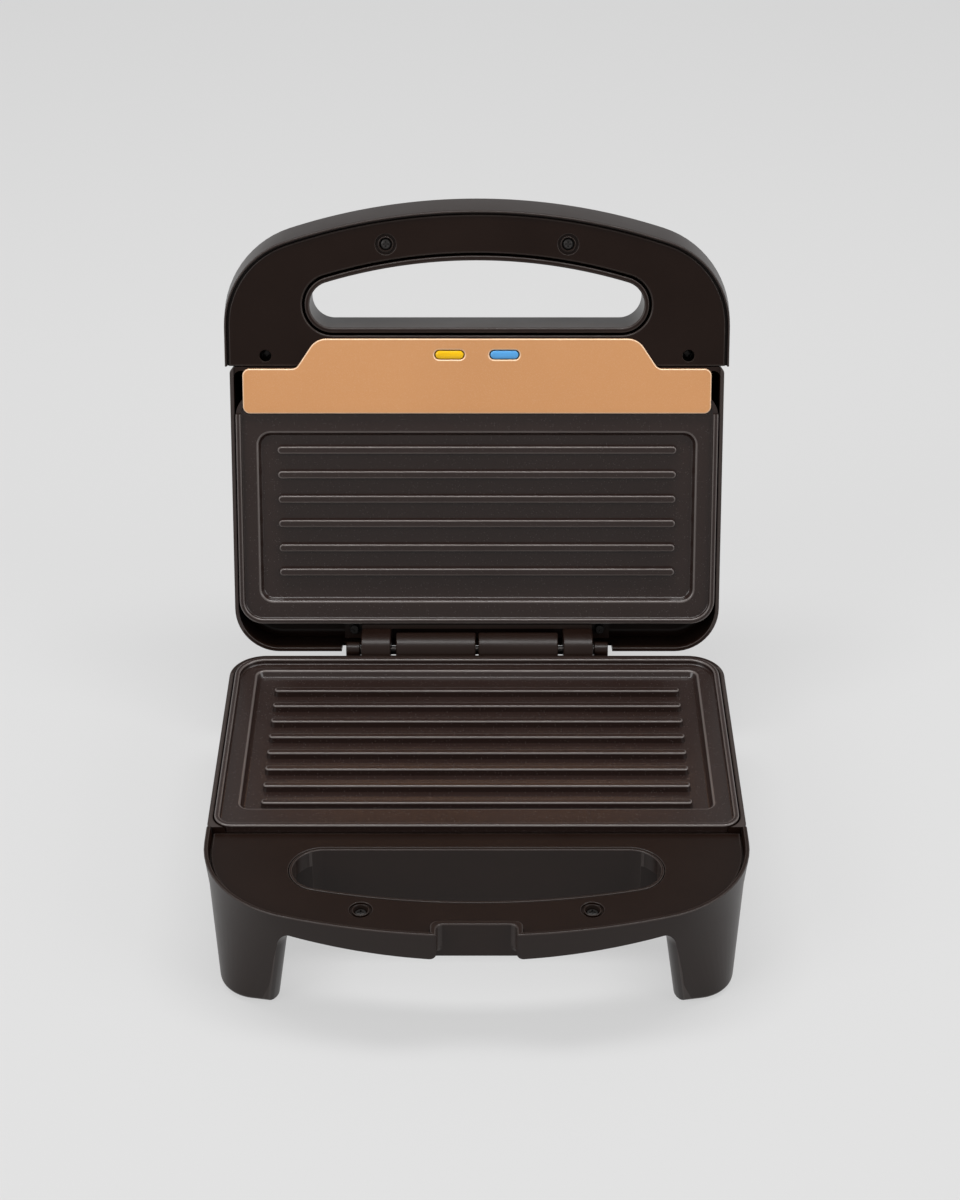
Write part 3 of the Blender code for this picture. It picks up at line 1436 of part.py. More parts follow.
# Copper-coloured panel with stepped shoulders
def panel_outline():
    """Half of the outline from the rear corner to the raised middle, then its mirror image."""
    hollow = (panel_step_half, panel_shoulder + panel_inner_corner)
    crest = (panel_top_half, panel_front - panel_outer_corner)
    run = hollow[0] - crest[0]
    rise = crest[1] - hollow[1]
    slope_deg = math.degrees(math.asin((panel_inner_corner + panel_outer_corner) / math.hypot(run, rise))
                             + math.atan2(rise, run))
    half = arc((panel_half - panel_corner, panel_rear + panel_corner), panel_corner, -90, 0, corner_steps)
    half += arc((panel_half - panel_corner, panel_shoulder - panel_corner), panel_corner, 0, 90, corner_steps)
    half += arc(hollow, panel_inner_corner, -90, -90 - slope_deg, corner_steps)
    half += arc(crest, panel_outer_corner, 90 - slope_deg, 90, corner_steps)
    return half + [(-x, reach) for x, reach in reversed(half)]


copper_panel = solid("copper_panel", lid_frame, copper_paint,
                     prism(lid_point, panel_outline(), panel_depth, panel_back_depth))
cut(copper_panel, *[prism(lid_point, pill((x, lens_reach), panel_slot_length, panel_slot_width), -overrun,
                          panel_back_depth + overrun) for _, x in mirrored(lens_x)])


# Indicator lights: a lens with a flange behind the cover, a lamp behind it, and their holder
for lens_name, lens_color, lens_side in (("yellow", yellow_lens_plastic, -1), ("blue", blue_lens_plastic, 1)):
    center = (lens_side * lens_x, lens_reach)
    flange_depth = lid_cover_bottom + seat_gap
    solid(lens_name + "_lens", lid_frame, lens_color, stack(lid_point, [
        (pill(center, lens_length - 2 * lens_edge, lens_width - 2 * lens_edge), lens_face_depth),
        (pill(center, lens_length, lens_width), lens_face_depth + lens_edge),
        (pill(center, lens_length, lens_width), flange_depth),
        (pill(center, lens_length + 2 * lens_flange_margin, lens_width + 2 * lens_flange_margin), flange_depth),
        (pill(center, lens_length + 2 * lens_flange_margin, lens_width + 2 * lens_flange_margin),
         flange_depth + lens_flange_thickness),
    ]))
    solid(lens_name + "_lamp", lid_frame, lamp_glass,
          along_x((lamp_reach, lamp_depth), lamp_radius, lens_side * lens_x - lamp_length / 2,
                  lens_side * lens_x + lamp_length / 2, lid_point, screw_steps))
lamp_holder = solid("lamp_holder", lid_frame, cover_plastic,
                    prism(lid_point, rectangle(-holder_half, holder_half, holder_rear, holder_front),
                          lamp_depth, lid_floor_depth - seat_gap))
cut(lamp_holder,
    along_x((lamp_reach, lamp_depth), lamp_radius + seat_gap, -plate_half, plate_half, lid_point, screw_steps))
cut(lamp_holder, bar(lid_point, [(holder_rear - overrun, lamp_depth + 2 * lamp_radius + lid_wall),
                                 (holder_front - lid_wall, lamp_depth + 2 * lamp_radius + lid_wall),
                                 (holder_front - lid_wall, lid_floor_depth - lid_wall),
                                 (holder_rear - overrun, lid_floor_depth - lid_wall)],
                     -plate_half, plate_half))


# Lamp leads: from the element's ends through the shield and forward to the lamps
lead_depth = (post_depth + lid_floor_depth) / 2
for side, way in (("left", -1), ("right", 1)):
    hole_x = way * heater_lead_hole_x
    lamp_end = way * (lens_x + lamp_length / 2 + seat_gap)
    lead("lamp_lead_" + side, lid_frame, [
        lid_point(way * heater_tip, upper_heater_rear, heater_depth),
        lid_point(way * (heater_tip - lead_bend), upper_heater_rear, heater_depth),
        lid_point(hole_x + way * lead_bend / 2, heater_lead_hole_reach - 3 * lead_bend / 2, heater_depth),
        lid_point(hole_x, heater_lead_hole_reach, shield_depth),
        lid_point(hole_x, heater_lead_hole_reach + lead_bend, lead_depth),
        lid_point(hole_x, heater_lead_hole_reach + 4 * lead_bend, lead_depth),
        lid_point(way * ring_lead_x, upper_plate_length - 2 * lead_bend, lead_depth),
        lid_point(way * ring_lead_x, upper_plate_length + lead_bend / 4, (lead_depth + lamp_depth) / 2),
        lid_point(way * ring_lead_x, lid_front, lamp_depth),
        lid_point(way * (ring_lead_x - lead_bend / 4), lamp_reach - lead_bend / 6, lamp_depth),
        lid_point(lamp_end + way * lead_bend / 2, lamp_reach, lamp_depth),
        lid_point(lamp_end, lamp_reach, lamp_depth),
    ])


# Lid screws behind the heat shield
shield_seat = shield_depth + shield_thickness + seat_gap
for side, screw_x in mirrored(plate_boss_x):
    screw("upper_plate_screw_" + side, lid_frame, lid_point(screw_x, plate_boss_reach, shield_seat), down,
          shield_seat - plate_underside - seat_gap, cover_head_radius)


# Lid hinge bracket: a strip and a ledge that carry two knuckles on the pin
def bracket_point(ahead, depth):
    """A point of the bracket, given ahead of the pin and outward from the lid's rim."""
    return (ahead - hinge_setback, depth)


strip_front = hinge_setback - bracket_gap
bracket = solid("lid_hinge_bracket", lid_frame, casing_plastic, bar(lid_point, [
    bracket_point(strip_front, bracket_rim_depth),
    bracket_point(strip_front - bracket_strip, bracket_rim_depth),
    bracket_point(strip_front - bracket_strip, bracket_far_depth - bracket_strip / 2),
    bracket_point(strip_front, bracket_far_depth - bracket_strip / 2),
], -knuckle_outer_x, knuckle_outer_x))
add(bracket, prism(lid_point, rectangle(-bracket_half, bracket_half, bracket_rear,
                                        bracket_front + merge_distance),
                   bracket_plate_depth, bracket_far_depth))


def knuckle_profile():
    """The knuckle's round underside and its arm, whose front passes the shut casing's rear corner."""
    corner_ahead = hinge_setback - base_rear_margin
    corner_rise = hinge_drop - base_rim_drop
    lean = math.atan2(corner_rise, corner_ahead)
    lean -= math.acos((barrel_radius + arm_clearance) / math.hypot(corner_ahead, corner_rise))
    arm_rim_depth = bracket_rim_depth + arm_rim_step
    arm_front = (barrel_radius - (arm_rim_depth - lid_axis_depth) * math.sin(lean)) / math.cos(lean)
    strip_middle = strip_front - bracket_strip / 2
    stop_deg = -180 - math.degrees(math.atan2(arm_low_depth - lid_axis_depth, arm_back))
    points = [bracket_point(strip_middle, bracket_plate_depth + bracket_thickness / 2),
              bracket_point(strip_middle, arm_rim_depth),
              bracket_point(arm_front, arm_rim_depth)]
    points += arc(bracket_point(0, lid_axis_depth), barrel_radius, math.degrees(lean), stop_deg, round_steps)
    return points + [
        bracket_point(-arm_back, arm_low_depth),
        bracket_point(-arm_back, arm_high_depth),
        bracket_point(bracket_back, arm_shoulder_depth),
        bracket_point(bracket_back, bracket_plate_depth + bracket_thickness / 2),
    ]


add(bracket, bar(lid_point, knuckle_profile(), knuckle_inner_x, knuckle_outer_x),
    bar(lid_point, knuckle_profile(), -knuckle_outer_x, -knuckle_inner_x))
cut(bracket, along_x(bracket_point(0, lid_axis_depth), pin_bore_radius, -plate_half, plate_half, lid_point,
                     bore_steps),
    *[upright(lid_point, (x, bracket_middle), screw_hole_radius, bracket_plate_depth - overrun,
              bracket_far_depth + overrun) for _, x in mirrored(bracket_screw_x)])
for side, screw_x in mirrored(bracket_screw_x):
    screw("hinge_bracket_screw_" + side, lid_frame,
          lid_point(screw_x, bracket_middle, bracket_plate_depth - seat_gap), up,
          bracket_screw_length, corner_head_radius, dark_steel)


# Stand the open object on the origin: centred in x and y, with its feet on the ground
bpy.context.view_layer.update()
depsgraph = bpy.context.evaluated_depsgraph_get()
corners = []
for piece in bpy.data.objects:
    if piece.type in {"MESH", "CURVE"} and not piece.hide_render:
        finished = piece.evaluated_get(depsgraph)
        surface = finished.to_mesh()
        corners += [finished.matrix_world @ vertex.co for vertex in surface.vertices]
        finished.to_mesh_clear()
lowest = Vector([min(corner[axis] for corner in corners) for axis in range(3)])
highest = Vector([max(corner[axis] for corner in corners) for axis in range(3)])
middle = (lowest + highest) / 2
base_frame.location = (-middle.x, -middle.y, -lowest.z)
bpy.context.view_layer.update()
print("size", [round(side, 5) for side in highest - lowest])
print("hinge axis", [round(value, 6) for value in lid_frame.matrix_world.translation])
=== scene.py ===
# %% [markdown]
# An open sandwich maker, dressed for a studio picture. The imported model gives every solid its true
# place, and this script gives each surface its finish: moulded plastic with a fine grain, a dark
# non-stick coating on the ribbed plates, copper-coloured paint and two small coloured lenses.
# Pieces whose fine edges and grooves matter in the picture are made anew; the others keep their
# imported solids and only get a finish.

import json
import math

import bmesh
import bpy
from mathutils import Matrix, Vector


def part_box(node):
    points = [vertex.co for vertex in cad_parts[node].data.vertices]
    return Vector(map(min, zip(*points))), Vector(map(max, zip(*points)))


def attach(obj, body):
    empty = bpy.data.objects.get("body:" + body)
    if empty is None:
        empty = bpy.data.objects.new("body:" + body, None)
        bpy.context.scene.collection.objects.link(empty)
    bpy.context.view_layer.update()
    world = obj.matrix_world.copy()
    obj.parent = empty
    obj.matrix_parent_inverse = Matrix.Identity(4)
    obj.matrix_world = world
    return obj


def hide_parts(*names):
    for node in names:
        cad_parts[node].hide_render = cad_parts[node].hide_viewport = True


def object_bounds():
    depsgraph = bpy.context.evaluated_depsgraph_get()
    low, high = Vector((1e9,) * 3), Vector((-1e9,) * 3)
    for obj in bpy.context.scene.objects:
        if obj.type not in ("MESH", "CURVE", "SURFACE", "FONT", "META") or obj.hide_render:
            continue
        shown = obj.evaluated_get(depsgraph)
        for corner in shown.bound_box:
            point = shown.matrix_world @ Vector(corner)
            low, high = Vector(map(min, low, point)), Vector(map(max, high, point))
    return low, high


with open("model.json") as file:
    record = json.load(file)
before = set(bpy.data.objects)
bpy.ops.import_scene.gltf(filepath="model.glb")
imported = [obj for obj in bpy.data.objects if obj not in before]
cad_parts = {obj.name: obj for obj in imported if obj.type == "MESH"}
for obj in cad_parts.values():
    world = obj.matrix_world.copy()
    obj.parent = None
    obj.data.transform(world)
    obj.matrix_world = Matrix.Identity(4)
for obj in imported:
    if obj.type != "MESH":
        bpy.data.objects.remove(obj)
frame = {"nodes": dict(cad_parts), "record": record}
cad_box = [list(corner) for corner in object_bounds()]
print("packed model", cad_box)

# %% [markdown]
# The camera stands in front and looks down at about 33 degrees, through a long lens that keeps the
# sides of the plates nearly parallel. It was solved from the corners of the plates and the lid, so
# its place is written from the rear edge of the lower plate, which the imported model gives. A camera
# could be placed by eye, but a solved one shows each piece where the photograph does.

# %% Camera
picture_height = 1200
focal_pixels = 2462
sensor_width = 36
camera_pitch_deg = 32.8
camera_from_plate = Vector((0.00138, -0.93557, 0.63402))
plate_low, plate_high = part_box("lower_plate")
plate_rear_edge = Vector((0, plate_high.y, plate_high.z))

camera = bpy.data.cameras.new("camera")
camera.sensor_width = sensor_width
camera.lens = focal_pixels / picture_height * sensor_width
eye = bpy.data.objects.new("camera", camera)
bpy.context.collection.objects.link(eye)
eye.location = plate_rear_edge + camera_from_plate
eye.rotation_euler = (math.radians(90 - camera_pitch_deg), 0, 0)
bpy.context.scene.camera = eye
bpy.context.scene.view_settings.view_transform = "Standard"
print("lens", camera.lens, "camera", tuple(eye.location))

# %% [markdown]
# A finish is mostly small unevenness. Three effects are shared by the materials, so each is a node
# group: the grain of a moulded surface, the cloudy marks that handling leaves, and fine specks.
# Image textures could hold these too, but noise needs no image and no unwrapping, and its scale is
# the same on every piece.

# %% Shared effects
coarse_grain_scale = 0.38
fine_grain_share = 0.65
speck_reach = 0.34


def give(tree, term, socket):
    """Give a socket a plain value, or link another node's output to it."""
    if isinstance(term, bpy.types.NodeSocket):
        tree.links.new(term, socket)
    else:
        socket.default_value = term


def feed(tree, node, **inputs):
    """Give a node's inputs, by their labels, values or other nodes' outputs."""
    for label, term in inputs.items():
        give(tree, term, node.inputs[label.replace("_", " ")])


def add_node(tree, kind, **inputs):
    """Add a shader node and feed it."""
    node = tree.nodes.new("ShaderNode" + kind)
    feed(tree, node, **inputs)
    return node


def math_node(tree, operation, *terms):
    """A Math node; each term is a number or an output socket."""
    node = add_node(tree, "Math")
    node.operation = operation
    for socket, term in zip(node.inputs, terms):
        give(tree, term, socket)
    return node.outputs["Value"]


def noise(tree, scale, detail, roughness):
    """Noise on object coordinates, with its scale in cells per metre."""
    place = add_node(tree, "TexCoord").outputs["Object"]
    return add_node(tree, "TexNoise", Vector=place, Scale=scale, Detail=detail,
                    Roughness=roughness).outputs["Fac"]


def new_group(name, output, **inputs):
    """A node group with number inputs and one output: its tree, its inputs and its output."""
    group = bpy.data.node_groups.new(name, "ShaderNodeTree")
    for label, value in inputs.items():
        socket = group.interface.new_socket(label, in_out="INPUT", socket_type="NodeSocketFloat")
        socket.default_value = value
    group.interface.new_socket(output, in_out="OUTPUT", socket_type="NodeSocketFloat")
    entry = group.nodes.new("NodeGroupInput")
    leave = group.nodes.new("NodeGroupOutput")
    return group, entry.outputs, leave.inputs[output]


# The grain of a spark-eroded mould: shallow pits of two sizes.
grain_group, entry, leave = new_group("moulded_grain", "Height", Scale=1600)
fine_pits = noise(grain_group, entry["Scale"], 2, 0.55)
coarse_scale = math_node(grain_group, "MULTIPLY", entry["Scale"], coarse_grain_scale)
coarse_pits = noise(grain_group, coarse_scale, 1, 0.5)
grain_group.links.new(math_node(
    grain_group, "ADD", math_node(grain_group, "MULTIPLY", fine_pits, fine_grain_share),
    math_node(grain_group, "MULTIPLY", coarse_pits, 1 - fine_grain_share)), leave)

# Soft cloudy marks a few centimetres across, with streaks inside them.
cloud_group, entry, leave = new_group("handling_clouds", "Mask", Scale=26, Contrast=1.6)
centred = math_node(cloud_group, "SUBTRACT", noise(cloud_group, entry["Scale"], 4, 0.6), 0.5)
raised = math_node(cloud_group, "MULTIPLY", centred, entry["Contrast"])
shifted = math_node(cloud_group, "ADD", raised, 0.5)
shifted.node.use_clamp = True
cloud_group.links.new(shifted, leave)

# Scattered fine specks, such as dust or the flakes in a metallic paint.
speck_group, entry, leave = new_group("fine_specks", "Mask", Scale=2200, Amount=0.12)
place = add_node(speck_group, "TexCoord").outputs["Object"]
cells = add_node(speck_group, "TexVoronoi", Vector=place, Scale=entry["Scale"]).outputs
tone = add_node(speck_group, "SeparateColor", Color=cells["Color"]).outputs["Red"]
picked = math_node(speck_group, "LESS_THAN", tone, entry["Amount"])
near = math_node(speck_group, "LESS_THAN", cells["Distance"], speck_reach)
speck_group.links.new(math_node(speck_group, "MULTIPLY", picked, near), leave)
print("node groups", sorted(group.name for group in bpy.data.node_groups))

# %% [markdown]
# Each finish is then one Principled shader. Its even values sit on the shader's own sockets, and
# only what varies over the surface is linked in: two tones of colour, a range of roughness and a
# bump height. The rounded edges of plastic, coating and paint are given a paler colour, a painted
# highlight for the light they catch, in a patchy way that follows the clouds. One function builds
# them all, so they differ only in their numbers.

# %% A finish from the shared effects
coat_roughness = 0.2
edge_highlight_least = 0.7
edge_highlight_patches = 0.4


def effect(tree, group, **values):
    """The output of a shared effect in a material, with its own values."""
    node = tree.nodes.new("ShaderNodeGroup")
    node.node_tree = group
    feed(tree, node, **values)
    return node.outputs[0]


def color_mix(tree, factor, first, second):
    """A colour between two others; each is a colour or an output socket."""
    node = add_node(tree, "Mix")
    node.data_type = "RGBA"
    feed(tree, node, Factor=factor, A=first, B=second)
    return node.outputs["Result"]


def finish(name, light, dark, rough, metallic=0.0, grain=1600, bump=0.00002, clouds=26, specks=0.0,
           speck_scale=2200, speck_tone=0.4, coat=0.0, specular=0.5, transmission=0.0, edge=None):
    """A material whose colour, roughness and bump vary; edge is the colour of a painted highlight on
    its rounded edges.
    """
    material = bpy.data.materials.new(name)
    material.use_nodes = True
    tree = material.node_tree
    marks = effect(tree, cloud_group, Scale=clouds)
    color = color_mix(tree, marks, (*dark, 1), (*light, 1))
    if specks:
        spots = effect(tree, speck_group, Scale=speck_scale, Amount=specks)
        paler = [value + (1 - value) * speck_tone for value in light]
        color = color_mix(tree, spots, color, (*paler, 1))
    # Rounded edges take a paler colour: a painted highlight for the light they catch, patchy where
    # the clouds are.
    if edge:
        edge_highlight_mask = add_node(tree, "Attribute")
        edge_highlight_mask.attribute_name = "rounded_edge"
        patches = math_node(tree, "MULTIPLY", marks, edge_highlight_patches)
        patchy = math_node(tree, "ADD", patches, edge_highlight_least)
        edge_highlight_share = math_node(tree, "MULTIPLY", edge_highlight_mask.outputs["Fac"], patchy)
        color = color_mix(tree, edge_highlight_share, color, (*edge, 1))
    spread = add_node(tree, "MapRange", Value=marks, To_Min=rough[0], To_Max=rough[1])
    relief = add_node(tree, "Bump", Strength=1.0, Distance=bump,
                      Height=effect(tree, grain_group, Scale=grain))
    feed(tree, tree.nodes["Principled BSDF"], Base_Color=color, Roughness=spread.outputs["Result"],
         Normal=relief.outputs["Normal"], Metallic=metallic, Coat_Weight=coat,
         Coat_Roughness=coat_roughness, Specular_IOR_Level=specular,
         Transmission_Weight=transmission)
    return material


# %% [markdown]
# The finishes of this sandwich maker. The casings are a brown-black plastic with a satin mould
# grain; the covers inside the handles are a little darker. The plates carry a dark coating with a
# faint warm tone. The panel is a satin copper-coloured paint.

# %% Finishes
# Each edge colour below is a painted highlight on the piece's rounded edges.
finishes = {
    "casing_plastic": finish(
        "casing_satin_plastic", (0.0125, 0.0058, 0.0038), (0.0095, 0.0042, 0.0026), (0.30, 0.38),
        bump=0.000012, specular=0.24, edge=(0.040, 0.031, 0.028)),
    "cover_plastic": finish(
        "cover_satin_plastic", (0.0098, 0.0040, 0.0022), (0.0074, 0.0028, 0.0014), (0.28, 0.36),
        bump=0.000012, specular=0.20, edge=(0.034, 0.026, 0.023)),
    "plate_coating": finish(
        "non_stick_coating", (0.0200, 0.0112, 0.0092), (0.0165, 0.0088, 0.0070), (0.20, 0.26),
        grain=4000, bump=0.0000008, clouds=18, specks=0.10, speck_scale=1500, speck_tone=0.02,
        edge=(0.115, 0.098, 0.092)),
    "copper_paint": finish(
        "copper_satin_paint", (0.64, 0.31, 0.128), (0.60, 0.285, 0.116), (0.40, 0.50),
        metallic=0.35, grain=3000, bump=0.000004, clouds=12, specks=0.25, speck_scale=3800,
        speck_tone=0.12, edge=(0.80, 0.58, 0.40)),
    "yellow_lens_plastic": finish(
        "yellow_lens_plastic", (0.80, 0.48, 0.003), (0.74, 0.42, 0.002), (0.14, 0.20), grain=400,
        bump=0.000002, coat=0.15, specular=0.3),
    "blue_lens_plastic": finish(
        "blue_lens_plastic", (0.09, 0.33, 0.66), (0.07, 0.28, 0.58), (0.14, 0.20), grain=400,
        bump=0.000002, coat=0.15, specular=0.3),
    "lamp_glass": finish("lamp_glass", (0.85, 0.8, 0.75), (0.8, 0.74, 0.7), (0.05, 0.1), grain=300,
                         bump=0.000002, transmission=0.8),
    "steel": finish("bright_screw_steel", (0.42, 0.42, 0.43), (0.33, 0.33, 0.34), (0.24, 0.36),
                    metallic=1.0, grain=1800, bump=0.000006),
    "dark_steel": finish("blackened_screw_steel", (0.05, 0.046, 0.044), (0.03, 0.028, 0.027),
                         (0.30, 0.42), metallic=0.6, grain=1800, bump=0.000008),
    # The pin's near-black colour is painted shade for the gaps between the hinge's barrels.
    "pin_steel": finish("pin_steel_painted_shade", (0.035, 0.031, 0.029), (0.022, 0.019, 0.018),
                        (0.34, 0.44), metallic=0.8, grain=1800, bump=0.000006),
    "shield_metal": finish("bright_sheet_metal", (0.68, 0.68, 0.69), (0.6, 0.6, 0.61), (0.28, 0.4),
                           metallic=1.0, grain=700, bump=0.000006),
    "heater_steel": finish("oxidised_tube_steel", (0.20, 0.17, 0.14), (0.12, 0.10, 0.09),
                           (0.42, 0.6), metallic=0.9, grain=1200, bump=0.00001),
    "rubber": finish("matt_black_rubber", (0.013, 0.013, 0.013), (0.008, 0.008, 0.008), (0.7, 0.85),
                     grain=1500, bump=0.00003, specks=0.05, speck_tone=0.05),
    "white_ceramic": finish("unglazed_ceramic", (0.74, 0.71, 0.64), (0.66, 0.62, 0.55), (0.45, 0.6),
                            grain=1400),
    "lead_sleeve": finish("glass_fibre_sleeve", (0.70, 0.67, 0.58), (0.58, 0.55, 0.47), (0.6, 0.8),
                          grain=2400, bump=0.00005),
}
slot_of_node = {part["node"]: part["material_slot"] for part in frame["record"]["subparts"]}
for node_name, solid in frame["nodes"].items():
    solid.data.materials.clear()
    solid.data.materials.append(finishes[slot_of_node[node_name]])
# The hinge pin gets the near-black finish, painted shade that stands for the shade in the gaps
# between the barrels.
frame["nodes"]["hinge_pin"].data.materials[0] = finishes["pin_steel"]
print("finished nodes", len(slot_of_node))

# %% [markdown]
# Places on the object are written the way it is built: x to the right, reach forward from the rear
# edge of the plates, and then a height on the base, or a depth into the lid. The lid is shaped
# shut, flat over the base, where its faces line up with the axes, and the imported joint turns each
# finished piece open.

# %% Places on the base and in the lid
joint = frame["record"]["behaviour"]["joints"][0]
hinge_axis = Vector(joint["pos_m"])
lid_angle = math.radians(joint["range_deg"][1])
lid_turn = Matrix.Translation(hinge_axis) @ Matrix.Rotation(-lid_angle, 4, "X")
rim_height = plate_rear_edge.z
hinge_height = hinge_axis.z
hinge_setback = hinge_axis.y - plate_rear_edge.y
closing_gap = 0.0006
lid_axis_depth = hinge_height - rim_height - closing_gap
seat_gap = 0.0003
overrun = 0.002
beyond = 0.22
plate_half = (plate_high.x - plate_low.x) / 2


def on_base(x, reach, height):
    """A point of the base, with its height above the table."""
    return Vector((x, plate_rear_edge.y - reach, height))


def sunk(drop):
    """The height that lies a given drop under the rim of the lower plate."""
    return rim_height - drop


def below_rim(x, reach, drop):
    """A point of the base, with its drop under the rim of the lower plate."""
    return on_base(x, reach, sunk(drop))


def in_lid(x, reach, depth):
    """A point of the shut lid, seen from the hinge, with its depth outward from the plate's rim."""
    return Vector((x, -(reach + hinge_setback), depth - lid_axis_depth))


def both(x, reach):
    """A spot on each side of the middle, the left one first."""
    return [(-x, reach), (x, reach)]


print("lid corner", tuple(lid_turn @ in_lid(plate_half, 0, 0)))

# %% [markdown]
# The object is made of few kinds of outline: rectangles with round corners, pills, and the bow of
# the two handles, which has straight sides, round corners and a wide front curve. Each outline
# takes an inset, so that one function gives the wall, the groove and the cover that lie inside each
# other. Curve objects could draw them as well, but points from a function can be inset exactly.

# %% Outlines
corner_steps = 14
arch_steps = 44
circle_steps = 40


def arc(center, radius, start_deg, end_deg, steps=corner_steps):
    """Points on an arc, both ends included."""
    angles = [math.radians(start_deg + (end_deg - start_deg) * step / steps)
              for step in range(steps + 1)]
    return [(center[0] + radius * math.cos(angle), center[1] + radius * math.sin(angle))
            for angle in angles]


def circle(center, radius):
    """A full circle, first point not repeated."""
    return arc(center, radius, 0, 360, circle_steps)[:-1]


def rectangle(x_low, x_high, rear, front):
    """Four corners."""
    return [(x_low, rear), (x_high, rear), (x_high, front), (x_low, front)]


def rounded_rectangle(half, rear, front, rear_radius, front_radius):
    """A rectangle with its own rear and front corner radii."""
    points = arc((half - front_radius, front - front_radius), front_radius, 0, 90)
    points += arc((front_radius - half, front - front_radius), front_radius, 90, 180)
    points += arc((rear_radius - half, rear + rear_radius), rear_radius, 180, 270)
    return points + arc((half - rear_radius, rear + rear_radius), rear_radius, 270, 360)


def pill(center, length, width):
    """A long slot shape with round ends."""
    offset = (length - width) / 2
    points = arc((center[0] + offset, center[1]), width / 2, -90, 90)
    return points + arc((center[0] - offset, center[1]), width / 2, 90, 270)


def bow(shape, inset, rear):
    """Straight sides, round corners and a wide front curve that meets them smoothly."""
    half, corner, front, crown = [size - inset for size in shape]
    offset = half - corner
    center = front - crown
    corner_reach = center + math.sqrt((crown - corner) ** 2 - offset ** 2)
    meet_deg = math.degrees(math.atan2(corner_reach - center, offset))
    points = [(half, rear)]
    points += arc((offset, corner_reach), corner, 0, meet_deg)
    points += arc((0, center), crown, meet_deg, 180 - meet_deg, arch_steps)[1:-1]
    points += arc((-offset, corner_reach), corner, 180 - meet_deg, 180)
    return points + [(-half, rear)]


def hand_opening(opening, outset=0):
    """A D shape: straight rear side, round ends, wide front curve tangent to them."""
    half, rear, front, radius = opening
    radius += outset
    half += outset
    rear -= outset
    front += outset
    offset = half - radius
    rise = front - rear - radius
    crown = (offset ** 2 + rise ** 2 - radius ** 2) / (2 * (rise - radius))
    meet_deg = math.degrees(math.atan2(rear + radius - (front - crown), offset))
    points = arc((offset, rear + radius), radius, -90, meet_deg, 2 * corner_steps)
    points += arc((0, front - crown), crown, meet_deg, 180 - meet_deg, arch_steps)[1:-1]
    return points + arc((-offset, rear + radius), radius, 180 - meet_deg, 270, 2 * corner_steps)


def drawn_in(points, inset):
    """Any outline moved inward, along the mean normal at each corner."""
    following = points[1:] + points[:1]
    area = sum(x * far_y - far_x * y for (x, y), (far_x, far_y) in zip(points, following))
    moved = []
    for before, here, after in zip(points[-1:] + points[:-1], points, following):
        first = (Vector(here) - Vector(before)).normalized()
        second = (Vector(after) - Vector(here)).normalized()
        normal = Vector((-first.y - second.y, first.x + second.x)).normalized()
        reach_out = normal.dot(Vector((-first.y, first.x)))
        moved.append(tuple(Vector(here) + normal * math.copysign(inset, area * inset) / reach_out))
    return moved


def blended(first, second, share):
    """The outline that lies a share of the way from one to another."""
    return [(x + (far_x - x) * share, reach + (far_reach - reach) * share)
            for (x, reach), (far_x, far_reach) in zip(first, second)]


print("points in a bow", len(bow((0.11, 0.04, 0.19, 0.28), 0, 0.12)))

# %% [markdown]
# A real edge is never sharp. A profile is written as corners of (inset, level), and a corner with a
# third number, its radius, becomes a small arc, which is what catches the light. Flat runs at the
# two ends are left to the caps, because rings that share a straight side would lie on each other. A
# Bevel modifier could round the edges too, but it is unsure where a Boolean has cut, so the
# rounding is part of the profile.

# %% Profiles with rounded corners
round_edge_steps = 4
merge_distance = 0.00001
level_match = 0.000001


def rounded(*corners):
    """Points of (inset, level) along a profile whose corners are rounded."""
    points = []
    for index, corner in enumerate(corners):
        if len(corner) == 2:
            points.append(corner)
            continue
        here = Vector(corner[:2])
        near = (corners[index - 1], corners[index + 1])
        before, after = (Vector(other[:2]) - here for other in near)
        room = [side.length / (2 if len(other) > 2 else 1)
                for side, other in zip((before, after), near)]
        half_angle = before.angle(after) / 2
        trim = min(corner[2] / math.tan(half_angle), *room)
        first, second = before.normalized(), after.normalized()
        center = here + (first + second).normalized() * trim / math.cos(half_angle)
        start, end = here + first * trim - center, here + second * trim - center
        sweep = math.pi - 2 * half_angle
        for step in range(round_edge_steps + 1):
            swept = sweep * step / round_edge_steps
            spoke = start * math.sin(sweep - swept) + end * math.sin(swept)
            point = center + spoke / math.sin(sweep)
            if not points or (point - Vector(points[-1])).length > merge_distance:
                points.append(tuple(point))
    while abs(points[0][1] - points[1][1]) < level_match:
        points.pop(0)
    while abs(points[-1][1] - points[-2][1]) < level_match:
        points.pop()
    return points


print("points round one corner", len(rounded((0, 0.002), (0, 0, 0.001), (0.003, 0))))

# %% [markdown]
# Solids are lofted: one face is extruded from ring to ring. Joins and cuts are exact Booleans that
# are applied at once, so each finished piece is one plain mesh. Shading is smooth, and edges
# sharper than 35 degrees stay sharp. A subdivision surface would suit a softer object; here the
# flat faces have to stay flat.

# %% Lofted bodies
def loft_into(mesh, rings):
    """Extrude the first ring's face through the other rings, which leaves one closed body."""
    cap = mesh.faces.new([mesh.verts.new(point) for point in rings[0]])
    for index, ring in enumerate(rings[1:]):
        grown = bmesh.ops.extrude_face_region(mesh, geom=[cap], use_keep_orig=(index == 0))
        if index:
            bmesh.ops.delete(mesh, geom=[cap], context="FACES_ONLY")
        cap = next(part for part in grown["geom"] if isinstance(part, bmesh.types.BMFace))
        for corner, point in zip(cap.verts, ring):
            corner.co = point


def stack(place, levels):
    """Rings from pairs of an outline and its height or depth."""
    return [[place(x, reach, level) for x, reach in outline] for outline, level in levels]


